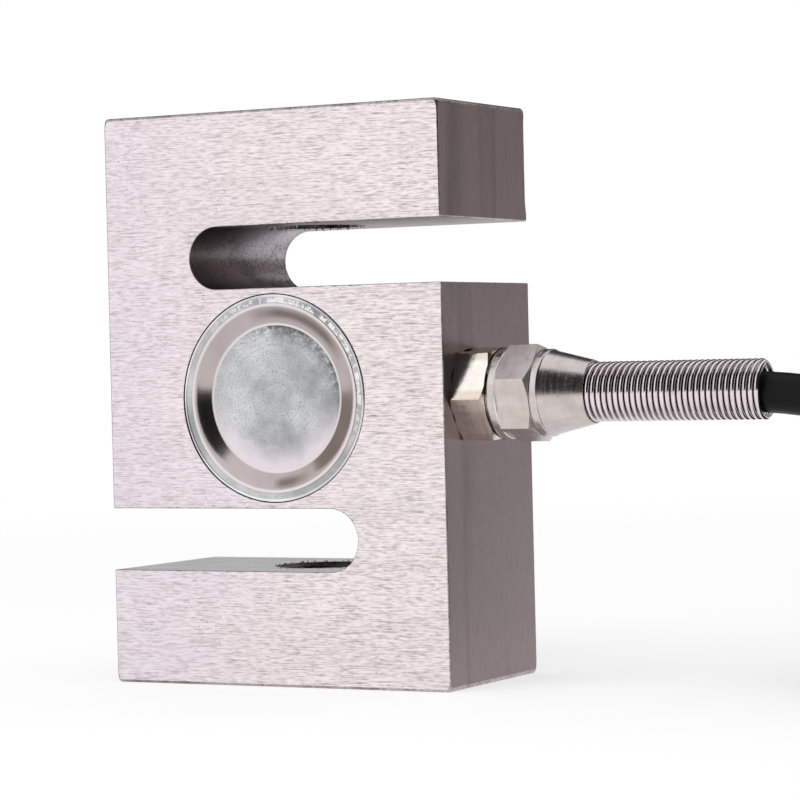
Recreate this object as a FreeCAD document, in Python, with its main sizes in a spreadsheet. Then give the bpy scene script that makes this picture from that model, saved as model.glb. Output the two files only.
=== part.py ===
import FreeCAD, Part
import math
import os
import re
import Sketcher
from FreeCAD import Placement, Rotation, Vector

# S type load cell, all lengths in millimetres and all angles in degrees.
# The origin is the centre of the lower face, on the load axis, with Z up.
# X runs along the wide face towards the cable, and the front face looks to -Y.

# Driving sizes
SIZES = {
    # Block
    "body_width": 50.8,
    "body_depth": 25.4,
    "body_height": 76.2,
    "edge_break": 0.4,
    # Slots, one from each side, each running past the load axis
    "slot_gap": 8.3,
    "slot_overrun": 12.3,
    "middle_height": 29.1,
    "slot_edge_break": 0.2,
    # Threaded hole in each arm, at the thread's outer radius
    "thread_radius": 6.0,
    "thread_mouth_break": 0.5,
    # Gauge chambers, front and rear, and the web between them
    "seat_wall": 0.75,
    "seat_width": 1.6,
    "web_thickness": 4.0,
    # Pressed covers
    "cover_recess": 0.3,
    "cover_sheet": 0.5,
    "cover_gap": 0.2,
    "cover_wall_gap": 0.15,
    "cover_wall_run": 2.3,
    "cover_wall_drop": 0.85,
    "cover_foot_bend": 0.25,
    "cover_shoulder_bend": 0.15,
    # Strain gauges on the web
    "gauge_length": 5.0,
    "gauge_width": 2.6,
    "gauge_film": 0.1,
    "gauge_grid_length": 3.5,
    "gauge_grid_height": 0.06,
    "gauge_bar_width": 0.37,
    "gauge_bar_pitch": 0.74,
    "gauge_spacing": 6.4,
    "gauge_shift": -2.2,
    # Terminal board in the front chamber
    "board_width": 5.0,
    "board_height": 14.0,
    "board_thickness": 0.8,
    "board_shift": 5.6,
    "pad_side": 1.5,
    "pad_height": 0.1,
    "pad_pitch": 3.3,
    "pad_column_shift": 1.4,
    "resistor_radius": 0.65,
    "resistor_length": 3.0,
    "resistor_shift": 3.6,
    # Cable and its cores
    "cable_radius": 2.6,
    "core_radius": 0.5,
    "core_spread": 0.62,
    "core_strip": 2.6,
    "core_landing": 2.1,
    "sheath_inset": 1.6,
    "passage_ease": 0.3,
    # Gland, on an axis that lies nearer to the front face
    "gland_offset": 5.1,
    "gland_thread_radius": 4.0,
    "gland_thread_ease": 0.05,
    "gland_hole_depth": 9.0,
    "gland_end_gap": 0.6,
    "gland_bore_ease": 0.15,
    "gland_hex_radius": 6.6,
    "gland_hex_length": 4.8,
    "gland_hex_turn": 35.0,
    "gland_front_radius": 4.75,
    "gland_front_length": 4.4,
    "hex_corner_break": 0.35,
    "hex_stock": 2.0,
    "ring_width": 0.8,
    "ring_thickness": 0.8,
    "ring_seat_ease": 0.05,
    # Seal and thrust washer in the gland
    "seal_wall": 1.25,
    "seal_length": 3.4,
    "seal_lead_in": 0.35,
    "seal_stand_out": 0.6,
    "seal_ease": 0.02,
    "washer_thickness": 0.6,
    "washer_ease": 0.15,
    # Compression nut
    "nut_gap": 0.6,
    "nut_thread_ease": 0.1,
    "nut_collar_radius": 5.9,
    "nut_collar_length": 1.0,
    "nut_hex_radius": 6.5,
    "nut_hex_length": 4.0,
    "nut_hex_turn": 14.0,
    "nut_groove_radius": 5.2,
    "nut_groove_length": 0.8,
    "nut_lip_radius": 5.7,
    "nut_lip_length": 1.0,
    "nut_cone_length": 5.6,
    "nut_tip_wall": 0.18,
    # Strain relief spring
    "spring_radius": 3.85,
    "spring_wire_radius": 0.38,
    "spring_wire_half_flat": 0.3,
    "spring_pitch": 0.79,
    "spring_socket_depth": 3.8,
    "spring_socket_ease": 0.03,
    "spring_reach": 23.0,
    # Coil of the cable, with its middle ahead of the cable's root and behind the gland's axis
    "coil_reach": 62.3,
    "coil_setback": 31.7,
    "coil_radius": 28.6,
    "coil_turns_wide": 4.0,
    "coil_turns_high": 4.0,
    "coil_hollows": 0.25,
    "coil_corner": 1.6,
    # Tie round the coil
    "tie_width": 3.6,
    "tie_thickness": 1.1,
    "tie_head_length": 5.2,
    "tie_head_height": 3.4,
    "tie_head_overlap": 0.3,
    "tie_turn": -28.0,
    # Stripped end of the cable
    "sleeve_wall": 0.3,
    "sleeve_length": 7.0,
    "sleeve_overhang": 2.5,
    "tail_core_radius": 0.6,
    "tail_core_spread": 0.8,
    "tail_core_straight": 4.5,
    "tail_tip_radius": 0.38,
    "tail_tip_length": 5.0,
}

# Lengths worked out from the driving sizes
TERMS = {
    "middle_z": "body_height / 2",
    "slot_radius": "slot_gap / 2",
    "slot_centre_x": "slot_overrun - slot_gap / 2",
    "upper_slot_floor": "middle_z + middle_height / 2",
    "upper_slot_roof": "upper_slot_floor + slot_gap",
    "lower_slot_roof": "middle_z - middle_height / 2",
    "lower_slot_floor": "lower_slot_roof - slot_gap",
    "seat_radius": "middle_height / 2 - seat_wall",
    "seat_depth": "cover_recess + cover_sheet",
    "chamber_radius": "seat_radius - seat_width",
    "chamber_depth": "body_depth / 2 - web_thickness / 2",
    "cover_rim_radius": "seat_radius - cover_gap",
    "cover_shoulder_radius": "chamber_radius - cover_wall_gap",
    "cover_disc_radius": "cover_shoulder_radius - cover_wall_run",
    "cover_disc_level": "-(cover_recess + cover_wall_drop)",
    "cover_wall_step": "cover_sheet * tan(atan(cover_wall_drop / cover_wall_run) / 2)",
    "passage_radius": "cable_radius + passage_ease",
    "passage_depth": "body_width / 2 - chamber_radius + passage_radius",
    "sheath_end": "-(body_width / 2 - chamber_radius - sheath_inset)",
    "ring_seat_radius": "gland_thread_radius + ring_width + ring_seat_ease",
    "ring_seat_depth": "ring_thickness",
    "gland_bore": "cable_radius + gland_bore_ease",
    "gland_front": "gland_hex_length + gland_front_length",
    "gland_tail": "-(gland_hole_depth - gland_end_gap)",
    "seal_radius": "cable_radius + seal_wall",
    "seal_seat": "gland_front - seal_length + seal_stand_out",
    "seal_front": "seal_seat + seal_length",
    "washer_front": "seal_front + washer_thickness",
    "nut_back": "gland_hex_length + nut_gap",
    "nut_hex_back": "nut_back + nut_collar_length",
    "nut_hex_front": "nut_hex_back + nut_hex_length",
    "nut_lip_back": "nut_hex_front + nut_groove_length",
    "nut_lip_front": "nut_lip_back + nut_lip_length",
    "nut_front": "nut_lip_front + nut_cone_length",
    "nut_bore": "gland_front_radius + nut_thread_ease",
    "nut_passage": "cable_radius + passage_ease",
    "socket_radius": "spring_radius + spring_socket_ease",
    "socket_floor": "nut_front - spring_socket_depth",
    "nut_tip_radius": "socket_radius + nut_tip_wall",
    "spring_mean_radius": "spring_radius - spring_wire_radius",
    "spring_height": "spring_socket_depth + spring_reach - 2 * spring_wire_radius",
    "root_height": "socket_floor + 4 * spring_wire_radius",
    "root_x": "body_width / 2 + root_height",
    "coil_x": "root_x + coil_reach",
    "coil_y": "coil_setback - gland_offset",
    "track_radius": "coil_radius + (coil_turns_wide - 1) * cable_radius",
    "top_turn": "(2 * coil_turns_high - 1) * cable_radius",
}

# The cable's way down to its coil, as shares of the way ahead, aside and down, chosen by eye
LEAD_ROUTE = (
    (0.0, 0.0, 0.0),
    (0.247, 0.0, 0.0),
    (0.499, 0.04, 0.025),
    (0.708, 0.53, 0.191),
    (0.892, 1.0, 0.593),
)
# How far above the top turn the cable still is at its first two points on the coil
LANDING_RISES = (2.2, 0.4)
# The cable's end behind the coil, from the hindmost point of the outer turn, chosen by eye
TAIL_ROUTE = ((-8.0, 1.1), (-25.6, -0.6))
# How each stripped core leaves the cable (side and level) and where it ends (aside and ahead)
CORE_FAN = {
    "tail_core_red": (1, 1, 6.6, 20.5),
    "tail_core_black": (-1, 1, -3.6, 21.5),
    "tail_core_green": (1, -1, 2.6, 22.5),
    "tail_core_white": (-1, -1, 0.1, 19.5),
}

# Where a stripped core bends onto the surface, as a share of its reach, and its clearances there and beyond
FAN_TURN = 0.55
FAN_CLEARANCES = (0.1, 0.02)

# Sides of the plain outlines that stand for a round cable, core and turn of wire
CABLE_SIDES = 10
CORE_SIDES = 6
SPRING_SIDES = 10
# Route points in a turn of the coil, and those of the last turn that the tail's tube takes up
TURN_POINTS = 16
TAIL_POINTS_ON_COIL = 3
# Share of the shorter run beside a corner of a path that its arc takes
ARC_SHARE = 0.45

FUNCTION_WORDS = {"sin", "cos", "tan", "atan", "sqrt"}

doc = FreeCAD.newDocument("s_type_load_cell")
sheet = doc.addObject("Spreadsheet::Sheet", "size")
for row, (name, length) in enumerate(SIZES.items(), start=1):
    sheet.set(f"A{row}", name)
    sheet.set(f"B{row}", str(length))
    sheet.setAlias(f"B{row}", name)
doc.recompute()


def formula(text):
    """Write a formula of named sizes and worked-out lengths in terms of the sheet's cells."""

    def cell(match):
        word = match.group()
        if word in FUNCTION_WORDS:
            return word
        return f"({formula(TERMS[word])})" if word in TERMS else f"size.{word}"

    return re.sub(r"[a-z][a-z_]*", cell, text)


def value(text):
    """The number that a formula gives."""
    return float(sheet.evalExpression(formula(text)))


def bind(feature, **lengths):
    """Tie properties of a feature to formulas."""
    for name, text in lengths.items():
        feature.setExpression(name.replace("__", "."), formula(text))


def new_body(label):
    body = doc.addObject("PartDesign::Body", label)
    body.Label = label
    return body


def origin_plane(body, role):
    return next(plane for plane in body.Origin.OriginFeatures if plane.Role == role)


def new_sketch(body, role, rise="0"):
    """A sketch on one of the body's own origin planes, raised along that plane's normal."""
    sketch = body.newObject("Sketcher::SketchObject", body.Label + "_sketch")
    sketch.AttachmentSupport = [(origin_plane(body, role), "")]
    sketch.MapMode = "FlatFace"
    bind(sketch, AttachmentOffset__Base__z=rise)
    return sketch


def place_point(sketch, edge, end, point):
    """Hold one end of an edge at a place given by two formulas."""
    for kind, text in zip(("DistanceX", "DistanceY"), point):
        number = sketch.addConstraint(Sketcher.Constraint(kind, edge, end, value(text)))
        sketch.setExpression(f"Constraints[{number}]", formula(text))


def draw_loop(sketch, corners):
    """Draw a closed outline of straight edges through corners given as pairs of formulas."""
    places = [Vector(value(x), value(y), 0) for x, y in corners]
    first = sketch.GeometryCount
    count = len(corners)
    for number, start in enumerate(places):
        sketch.addGeometry(Part.LineSegment(start, places[(number + 1) % count]), False)
    for number, corner in enumerate(corners):
        following = first + (number + 1) % count
        sketch.addConstraint(Sketcher.Constraint("Coincident", first + number, 2, following, 1))
        place_point(sketch, first + number, 1, corner)


def draw_circle(sketch, centre, radius):
    place = Vector(value(centre[0]), value(centre[1]), 0)
    edge = sketch.addGeometry(Part.Circle(place, Vector(0, 0, 1), value(radius)), False)
    number = sketch.addConstraint(Sketcher.Constraint("Radius", edge, value(radius)))
    sketch.setExpression(f"Constraints[{number}]", formula(radius))
    place_point(sketch, edge, 3, centre)


def pad(body, sketch, length, midplane=False):
    feature = body.newObject("PartDesign::Pad", body.Label + "_pad")
    feature.Profile = sketch
    feature.Midplane = midplane
    bind(feature, Length=length)
    return feature


def pocket(body, sketch, length=None):
    """Cut a sketch's outline away, to a depth against its normal, or right through both ways."""
    feature = body.newObject("PartDesign::Pocket", body.Label + "_pocket")
    feature.Profile = sketch
    if length is None:
        feature.Type = "ThroughAll"
        feature.Midplane = True
    else:
        bind(feature, Length=length)
    return feature


def turned(body, corners, kind="Revolution"):
    """Turn an outline of (radius, height) corners round the body's own Z axis."""
    sketch = new_sketch(body, "XZ_Plane")
    draw_loop(sketch, corners)
    feature = body.newObject("PartDesign::" + kind, body.Label + "_turn")
    feature.Profile = sketch
    feature.ReferenceAxis = (sketch, ["V_Axis"])
    feature.Angle = 360
    return feature


def chosen_edges(feature, test):
    """Names of the feature's edges whose ends and middle pass a test."""
    names = []
    for number, edge in enumerate(feature.Shape.Edges, start=1):
        middle = edge.valueAt((edge.FirstParameter + edge.LastParameter) / 2)
        if test(edge, middle):
            names.append(f"Edge{number}")
    return names


def dress(body, feature, kind, size, test):
    """Chamfer or round the edges that pass a test."""
    doc.recompute()
    result = body.newObject("PartDesign::" + kind, f"{body.Label}_{kind.lower()}")
    result.Base = (feature, chosen_edges(feature, test))
    bind(result, **{"Size" if kind == "Chamfer" else "Radius": size})
    return result


# Beam

def near(first, second):
    return abs(first - second) < 1e-4


def slot_outline(side):
    """A slot's straight part, from the middle of its round end to beyond the block's side."""
    mouth = f"{side} * (body_width / 2 + slot_gap)"
    end = f"{-side} * slot_centre_x"
    arm = "upper" if side > 0 else "lower"
    floor, roof = arm + "_slot_floor", arm + "_slot_roof"
    return [(end, floor), (mouth, floor), (mouth, roof), (end, roof)]


def cut_slot(body, side):
    """Mill one slot: a straight run with a round end past the load axis."""
    straight = new_sketch(body, "XZ_Plane")
    draw_loop(straight, slot_outline(side))
    pocket(body, straight)
    end = new_sketch(body, "XZ_Plane")
    floor = "upper_slot_floor" if side > 0 else "lower_slot_floor"
    draw_circle(end, (f"{-side} * slot_centre_x", f"{floor} + slot_radius"), "slot_radius")
    pocket(body, end)


def cut_threaded_hole(body, low, high):
    """Bore one arm along the load axis, with a broken edge at each mouth."""
    wide = "thread_radius + thread_mouth_break"
    corners = [
        ("0", low),
        (wide, low),
        ("thread_radius", f"{low} + thread_mouth_break"),
        ("thread_radius", f"{high} - thread_mouth_break"),
        (wide, high),
        ("0", high),
    ]
    return turned(body, corners, "Groove")


def cut_chamber(body):
    """Sink the cover seat and the gauge chamber from the front, and the same from the rear."""
    cuts = []
    for radius, depth in (("seat_radius", "seat_depth"), ("chamber_radius", "chamber_depth")):
        sketch = new_sketch(body, "XZ_Plane", "body_depth / 2")
        draw_circle(sketch, ("0", "middle_z"), radius)
        cuts.append(pocket(body, sketch, depth))
    doc.recompute()
    mirror = body.newObject("PartDesign::Mirrored", "beam_rear_chamber")
    mirror.Originals = cuts
    mirror.MirrorPlane = (origin_plane(body, "XZ_Plane"), [""])
    body.Tip = mirror
    return mirror


def cut_cable_way(body):
    """Drill from the side into the front chamber: ring seat, gland thread and cable passage."""
    bores = (
        ("ring_seat_radius", "ring_seat_depth"),
        ("gland_thread_radius", "gland_hole_depth"),
        ("passage_radius", "passage_depth"),
    )
    for radius, depth in bores:
        sketch = new_sketch(body, "YZ_Plane", "body_width / 2")
        draw_circle(sketch, ("-gland_offset", "middle_z"), radius)
        feature = pocket(body, sketch, depth)
    return feature


def build_beam():
    body = new_body("s_beam")
    outline = new_sketch(body, "XZ_Plane")
    half = "body_width / 2"
    draw_loop(outline, [("-" + half, "0"), (half, "0"), (half, "body_height"), ("-" + half, "body_height")])
    pad(body, outline, "body_depth", midplane=True)
    for side in (1, -1):
        cut_slot(body, side)
    cut_threaded_hole(body, "0", "lower_slot_floor")
    cut_threaded_hole(body, "upper_slot_roof", "body_height")
    feature = cut_chamber(body)

    side_x, face_y, top_z = (value(text) for text in (half, "body_depth / 2", "body_height"))

    def outer_edge(edge, middle):
        if not isinstance(edge.Curve, Part.Line):
            return False
        on_end = near(middle.z, 0) or near(middle.z, top_z)
        return near(abs(middle.x), side_x) + near(abs(middle.y), face_y) + on_end == 2

    feature = dress(body, feature, "Chamfer", "edge_break", outer_edge)

    level_names = ("upper_slot_floor", "upper_slot_roof", "lower_slot_floor", "lower_slot_roof")
    levels = [value(name) for name in level_names]
    end_radius, breaking = value("slot_radius"), value("edge_break")

    def slot_edge(edge, middle):
        if isinstance(edge.Curve, Part.Circle):
            return near(edge.Curve.Radius, end_radius) and near(abs(middle.y), face_y)
        outside = abs(middle.x) > side_x - breaking or abs(middle.y) > face_y - breaking
        return outside and any(near(middle.z, level) for level in levels)

    dress(body, feature, "Chamfer", "slot_edge_break", slot_edge)
    cut_cable_way(body)
    return body


# Covers

def build_cover(label, side):
    """A cover pressed from sheet: flat rim, shoulder, slanted wall and sunk disc, drawn facing +Z."""
    body = new_body(label)
    slope = "cover_wall_drop / cover_wall_run"
    corners = [
        ("0", "cover_disc_level"),
        ("cover_disc_radius - cover_foot_bend", "cover_disc_level"),
        ("cover_disc_radius + cover_foot_bend", f"cover_disc_level + cover_foot_bend * {slope}"),
        ("cover_shoulder_radius - cover_shoulder_bend", f"-cover_recess - cover_shoulder_bend * {slope}"),
        ("cover_shoulder_radius + cover_shoulder_bend", "-cover_recess"),
        ("cover_rim_radius", "-cover_recess"),
        ("cover_rim_radius", "-cover_recess - cover_sheet"),
        ("cover_shoulder_radius - cover_wall_step", "-cover_recess - cover_sheet"),
        ("cover_disc_radius - cover_wall_step", "cover_disc_level - cover_sheet"),
        ("0", "cover_disc_level - cover_sheet"),
    ]
    turned(body, corners)
    body.Placement = Placement(Vector(0, 0, 0), Rotation(Vector(1, 0, 0), 90 * side))
    bind(body, Placement__Base__y=f"{-side} * body_depth / 2", Placement__Base__z="middle_z")
    return body


# Gauges, board and cores inside the chambers

def build_gauge(label, side, level):
    """A strain gauge at 45 degrees: a film with the bars of its foil grid, lying on the web."""
    film = doc.addObject("Part::Box", label + "_film")
    bind(film, Length="gauge_length", Width="gauge_width", Height="gauge_film")
    bars = []
    for lane in (-1, 0, 1):
        bar = doc.addObject("Part::Box", label + "_bar")
        bind(bar, Length="gauge_grid_length", Width="gauge_bar_width", Height="gauge_grid_height")
        bind(bar, Placement__Base__x="(gauge_length - gauge_grid_length) / 2")
        bind(bar, Placement__Base__z="gauge_film")
        bind(bar, Placement__Base__y=f"(gauge_width - gauge_bar_width) / 2 + {lane} * gauge_bar_pitch")
        bars.append(bar)
    gauge = doc.addObject("Part::MultiFuse", label)
    gauge.Label = label
    gauge.Shapes = [film, *bars]
    doc.recompute()
    centre = Vector(value("gauge_length / 2"), value("gauge_width / 2"), 0)
    on_web = Vector(value("gauge_shift"), -side * value("web_thickness / 2"), value("middle_z"))
    on_web.z += level * value("gauge_spacing / 2")
    turn = Rotation(Vector(1, 0, 0), 90 * side).multiply(Rotation(Vector(0, 0, 1), 45 * level * side))
    gauge.Placement = Placement(on_web - turn.multVec(centre), turn)
    return gauge


def build_board():
    """The terminal board on the web, with two columns of four pads."""
    board = doc.addObject("Part::Box", "board_plate")
    bind(board, Length="board_width", Width="board_thickness", Height="board_height")
    bind(board, Placement__Base__x="board_shift - board_width / 2")
    bind(board, Placement__Base__y="-(web_thickness / 2 + board_thickness)")
    bind(board, Placement__Base__z="middle_z - board_height / 2")
    pads = []
    for column in (-1, 1):
        for step in (-1.5, -0.5, 0.5, 1.5):
            square = doc.addObject("Part::Box", "board_pad")
            bind(square, Length="pad_side", Width="pad_height", Height="pad_side")
            bind(square, Placement__Base__x=f"board_shift + {column} * pad_column_shift - pad_side / 2")
            bind(square, Placement__Base__y="-(web_thickness / 2 + board_thickness + pad_height)")
            bind(square, Placement__Base__z=f"middle_z + {step} * pad_pitch - pad_side / 2")
            pads.append(square)
    whole = doc.addObject("Part::MultiFuse", "terminal_board")
    whole.Label = "terminal_board"
    whole.Shapes = [board, *pads]
    return whole


def build_resistor(label, level):
    """A trimming resistor lying on the board between its pads."""
    resistor = doc.addObject("Part::Cylinder", label)
    resistor.Label = label
    bind(resistor, Radius="resistor_radius", Height="resistor_length")
    bind(resistor, Placement__Base__x="board_shift")
    bind(resistor, Placement__Base__y="-(web_thickness / 2 + board_thickness + resistor_radius)")
    bind(resistor, Placement__Base__z=f"middle_z + {level} * resistor_shift - resistor_length / 2")
    return resistor


def smooth_path(points):
    """Straight runs joined by tangent arcs, each as large as its two runs allow, as a wire, and the radii."""
    edges, radii = [], []
    start = points[0]
    for before, corner, after in zip(points, points[1:], points[2:]):
        into, out = (corner - before), (after - corner)
        setback = ARC_SHARE * min(into.Length, out.Length)
        turn = into.getAngle(out)
        radii.append(setback / math.tan(turn / 2))
        into.normalize()
        out.normalize()
        arc_start, arc_end = corner - into * setback, corner + out * setback
        inward = out - into
        inward.normalize()
        middle = corner + inward * (radii[-1] / math.cos(turn / 2) - radii[-1])
        edges.append(Part.LineSegment(start, arc_start).toShape())
        edges.append(Part.Arc(arc_start, middle, arc_end).toShape())
        start = arc_end
    edges.append(Part.LineSegment(start, points[-1]).toShape())
    return Part.Wire(edges), radii


def many_sided(centre, heading, radius, sides):
    """A regular outline round a centre, square to a heading, as a plain form of a circle."""
    turn = Rotation(Vector(0, 0, 1), heading)
    corners = []
    for number in range(sides + 1):
        angle = 2 * math.pi * (number % sides + 0.5) / sides
        corners.append(centre + turn.multVec(Vector(radius * math.cos(angle), radius * math.sin(angle), 0)))
    return Part.makePolygon(corners)


def build_tube(label, points, radius, sides):
    """A many-sided tube along a smooth path, checked against its section times its length."""
    path, radii = smooth_path(points)
    outline = many_sided(points[0], points[1] - points[0], radius, sides)
    tube = doc.addObject("Part::Feature", label)
    tube.Label = label
    tube.Shape = path.makePipeShell([outline], True, False)
    ratio = tube.Shape.Volume / (Part.Face(outline).Area * path.Length)
    bends = [round(bend, 1) for bend in radii]
    print(f"{label}: length {path.Length:.1f}, volume ratio {ratio:.4f}, radii {bends}")
    if abs(ratio - 1) > 0.01:
        raise ValueError(f"{label} doesn't have the volume of its path")
    return tube


def build_core(label, side, step):
    """A core from the cable's end to its pad: it leaves the sheath, fans out and lies flat on the pad."""
    spread, radius = value("core_spread"), value("core_radius")
    outer = abs(step) > 1
    axis_y, axis_z = -value("gland_offset"), value("middle_z")
    aside = -spread if outer else spread
    start = Vector(value("body_width / 2 + sheath_end"), axis_y + aside, axis_z + side * spread)
    pad_y = -(value("web_thickness / 2 + board_thickness + pad_height") + radius)
    pad_x = value("board_shift + pad_column_shift")
    end = Vector(pad_x, pad_y, axis_z + step * value("pad_pitch"))
    leave = start - Vector(value("core_strip"), 0, 0)
    land = end + Vector(value("core_landing"), 0, 0)
    return build_tube(label, [start, leave, land, end], radius, CORE_SIDES)


# Gland, nut, spring and the cable in them, all turned on the gland's axis

def on_gland_axis(piece, height="0"):
    piece.Placement.Rotation = Rotation(Vector(0, 1, 0), 90)
    bind(piece, Placement__Base__x=f"body_width / 2 + {height}")
    bind(piece, Placement__Base__y="-gland_offset", Placement__Base__z="middle_z")
    return piece


def cut_hexagon(body, radius, turn, top, length):
    """Mill a turned stage into a hexagon, leaving its corners on the stage's radius."""
    sketch = new_sketch(body, "XY_Plane", top)
    draw_circle(sketch, ("0", "0"), f"{radius} + hex_stock")
    corners = []
    for corner in range(6):
        angle = f"{turn} + {60 * corner}"
        corners.append((f"{radius} * cos({angle})", f"{radius} * sin({angle})"))
    draw_loop(sketch, corners)
    return pocket(body, sketch, length)


def build_gland_body():
    body = new_body("gland_body")
    thread = "gland_thread_radius - gland_thread_ease"
    corner = "gland_hex_radius - 2 * hex_corner_break"
    corners = [
        ("gland_bore", "gland_tail"),
        (f"{thread} - hex_corner_break", "gland_tail"),
        (thread, "gland_tail + hex_corner_break"),
        (thread, "0"),
        (corner, "0"),
        ("gland_hex_radius", "hex_corner_break"),
        ("gland_hex_radius", "gland_hex_length - hex_corner_break"),
        (corner, "gland_hex_length"),
        ("gland_front_radius", "gland_hex_length"),
        ("gland_front_radius", "gland_front"),
        ("seal_radius + seal_ease", "gland_front"),
        ("seal_radius + seal_ease", "seal_seat"),
        ("gland_bore", "seal_seat"),
    ]
    turned(body, corners)
    cut_hexagon(body, "gland_hex_radius", "gland_hex_turn", "gland_hex_length", "gland_hex_length")
    return on_gland_axis(body)


def build_gland_ring():
    """The flat rubber ring in its seat under the gland's hexagon."""
    body = new_body("gland_ring")
    inner, outer = "gland_thread_radius", "ring_seat_radius - ring_seat_ease"
    turned(body, [(inner, "-ring_seat_depth"), (outer, "-ring_seat_depth"), (outer, "0"), (inner, "0")])
    return on_gland_axis(body)


def build_seal():
    """The rubber seal that the nut squeezes onto the cable, tapered where it enters the gland."""
    body = new_body("gland_seal")
    inner = "cable_radius + seal_ease"
    corners = [
        (inner, "seal_seat"),
        ("seal_radius - seal_lead_in", "seal_seat"),
        ("seal_radius", "seal_seat + 2 * seal_lead_in"),
        ("seal_radius", "seal_front"),
        (inner, "seal_front"),
    ]
    turned(body, corners)
    return on_gland_axis(body)


def build_washer():
    body = new_body("thrust_washer")
    inner, outer = "cable_radius + passage_ease", "gland_front_radius - washer_ease"
    corners = [(inner, "seal_front"), (outer, "seal_front"), (outer, "washer_front"), (inner, "washer_front")]
    turned(body, corners)
    return on_gland_axis(body)


def build_nut():
    body = new_body("compression_nut")
    corner = "nut_hex_radius - 2 * hex_corner_break"
    corners = [
        ("nut_bore", "nut_back"),
        ("nut_collar_radius", "nut_back"),
        ("nut_collar_radius", "nut_hex_back"),
        (corner, "nut_hex_back"),
        ("nut_hex_radius", "nut_hex_back + hex_corner_break"),
        ("nut_hex_radius", "nut_hex_front - hex_corner_break"),
        (corner, "nut_hex_front"),
        ("nut_groove_radius", "nut_hex_front"),
        ("nut_groove_radius", "nut_lip_back"),
        ("nut_lip_radius", "nut_lip_back"),
        ("nut_lip_radius", "nut_lip_front"),
        ("nut_tip_radius", "nut_front"),
        ("socket_radius", "nut_front"),
        ("socket_radius", "socket_floor"),
        ("nut_passage", "socket_floor"),
        ("nut_passage", "washer_front"),
        ("nut_bore", "washer_front"),
    ]
    turned(body, corners)
    cut_hexagon(body, "nut_hex_radius", "nut_hex_turn", "nut_hex_front", "nut_hex_length")
    return on_gland_axis(body)


def wire_section(step, steps):
    """Four corners of the spring's wire at one step of its winding."""
    half_wire, half_rise = value("spring_wire_radius"), value("spring_wire_half_flat")
    level = value("spring_height") * step / steps
    turn = Rotation(Vector(0, 0, 1), 360 * step / SPRING_SIDES)
    corners = []
    for aside, rise in ((1, -1), (1, 1), (-1, 1), (-1, -1)):
        corner = Vector(value("spring_mean_radius") + aside * half_wire, 0, level + rise * half_rise)
        corners.append(turn.multVec(corner))
    return corners


def skin(sections):
    """A solid with flat faces through matching outlines, with the first and last as its ends."""
    outlines = [list(reversed(sections[0])), sections[-1]]
    for before, after in zip(sections, sections[1:]):
        for side, (first, fourth) in enumerate(zip(before, after)):
            following = (side + 1) % len(before)
            second, third = before[following], after[following]
            outlines += [[first, second, third], [first, third, fourth]]
    faces = [Part.Face(Part.makePolygon([*outline, outline[0]])) for outline in outlines]
    shell = Part.makeShell(faces)
    shell.sewShape()
    return Part.makeSolid(shell)


def build_spring():
    """The close-wound strain relief in the nut's socket, with flat-sided turns of a four-sided wire."""
    steps = round(value("spring_height / spring_pitch") * SPRING_SIDES)
    spring = doc.addObject("Part::Feature", "strain_relief_spring")
    spring.Label = "strain_relief_spring"
    spring.Shape = skin([wire_section(step, steps) for step in range(steps + 1)])
    return on_gland_axis(spring, "socket_floor + spring_wire_radius")


def build_inner_cable():
    """The cable's stretch in the block and the gland, up to the spring's root."""
    cable = doc.addObject("Part::Cylinder", "cable_in_gland")
    cable.Label = "cable_in_gland"
    bind(cable, Radius="cable_radius", Height="root_height - sheath_end")
    return on_gland_axis(cable, "sheath_end")


# Free cable: lead, coil and tail

def track_point(number, level):
    """A route point of the coil's outermost turn, counted from where the lead meets the coil."""
    step = 2 * math.pi / TURN_POINTS
    angle = (number + 0.5) * step - math.pi / 2
    reach = value("track_radius") / math.cos(step / 2)
    return Vector(value("coil_x") + reach * math.cos(angle), value("coil_y") + reach * math.sin(angle), level)


def lead_points():
    """The lead's route from the spring's root, down and onto the coil's top turn."""
    top = value("top_turn")
    root = Vector(value("root_x"), -value("gland_offset"), value("middle_z"))
    way = Vector(value("coil_reach"), value("coil_setback - track_radius"), top - root.z)
    points = [root + Vector(way.x * ahead, way.y * aside, way.z * down) for ahead, aside, down in LEAD_ROUTE]
    return points + [track_point(number, top + rise) for number, rise in enumerate(LANDING_RISES)]


def tail_points():
    """The tail's route along the coil's lowest outer turn and off it, to the jacket's end."""
    radius = value("cable_radius")
    hindmost = Vector(value("coil_x"), value("coil_y + track_radius"), value("cable_radius + sleeve_wall"))
    leaving = TURN_POINTS // 2
    points = [track_point(number, radius) for number in range(leaving - TAIL_POINTS_ON_COIL, leaving)]
    return points + [hindmost + Vector(ahead, aside, 0) for ahead, aside in TAIL_ROUTE]


def coil_section(depth=0.0):
    """The coil's outline as (radius, height) corners, at a depth under the turns' crests."""
    half_wide = value("coil_turns_wide * cable_radius")
    corner = value("coil_corner")
    inner, outer = value("coil_radius") - half_wide + depth, value("coil_radius") + half_wide - depth
    low, high = depth, value("coil_turns_high * 2 * cable_radius") - depth
    return [
        (inner + corner, low),
        (outer - corner, low),
        (outer, low + corner),
        (outer, high - corner),
        (outer - corner, high),
        (inner + corner, high),
        (inner, high - corner),
        (inner, low + corner),
    ]


def coil_middle():
    return Vector(value("coil_x"), value("coil_y"), 0)


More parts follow.
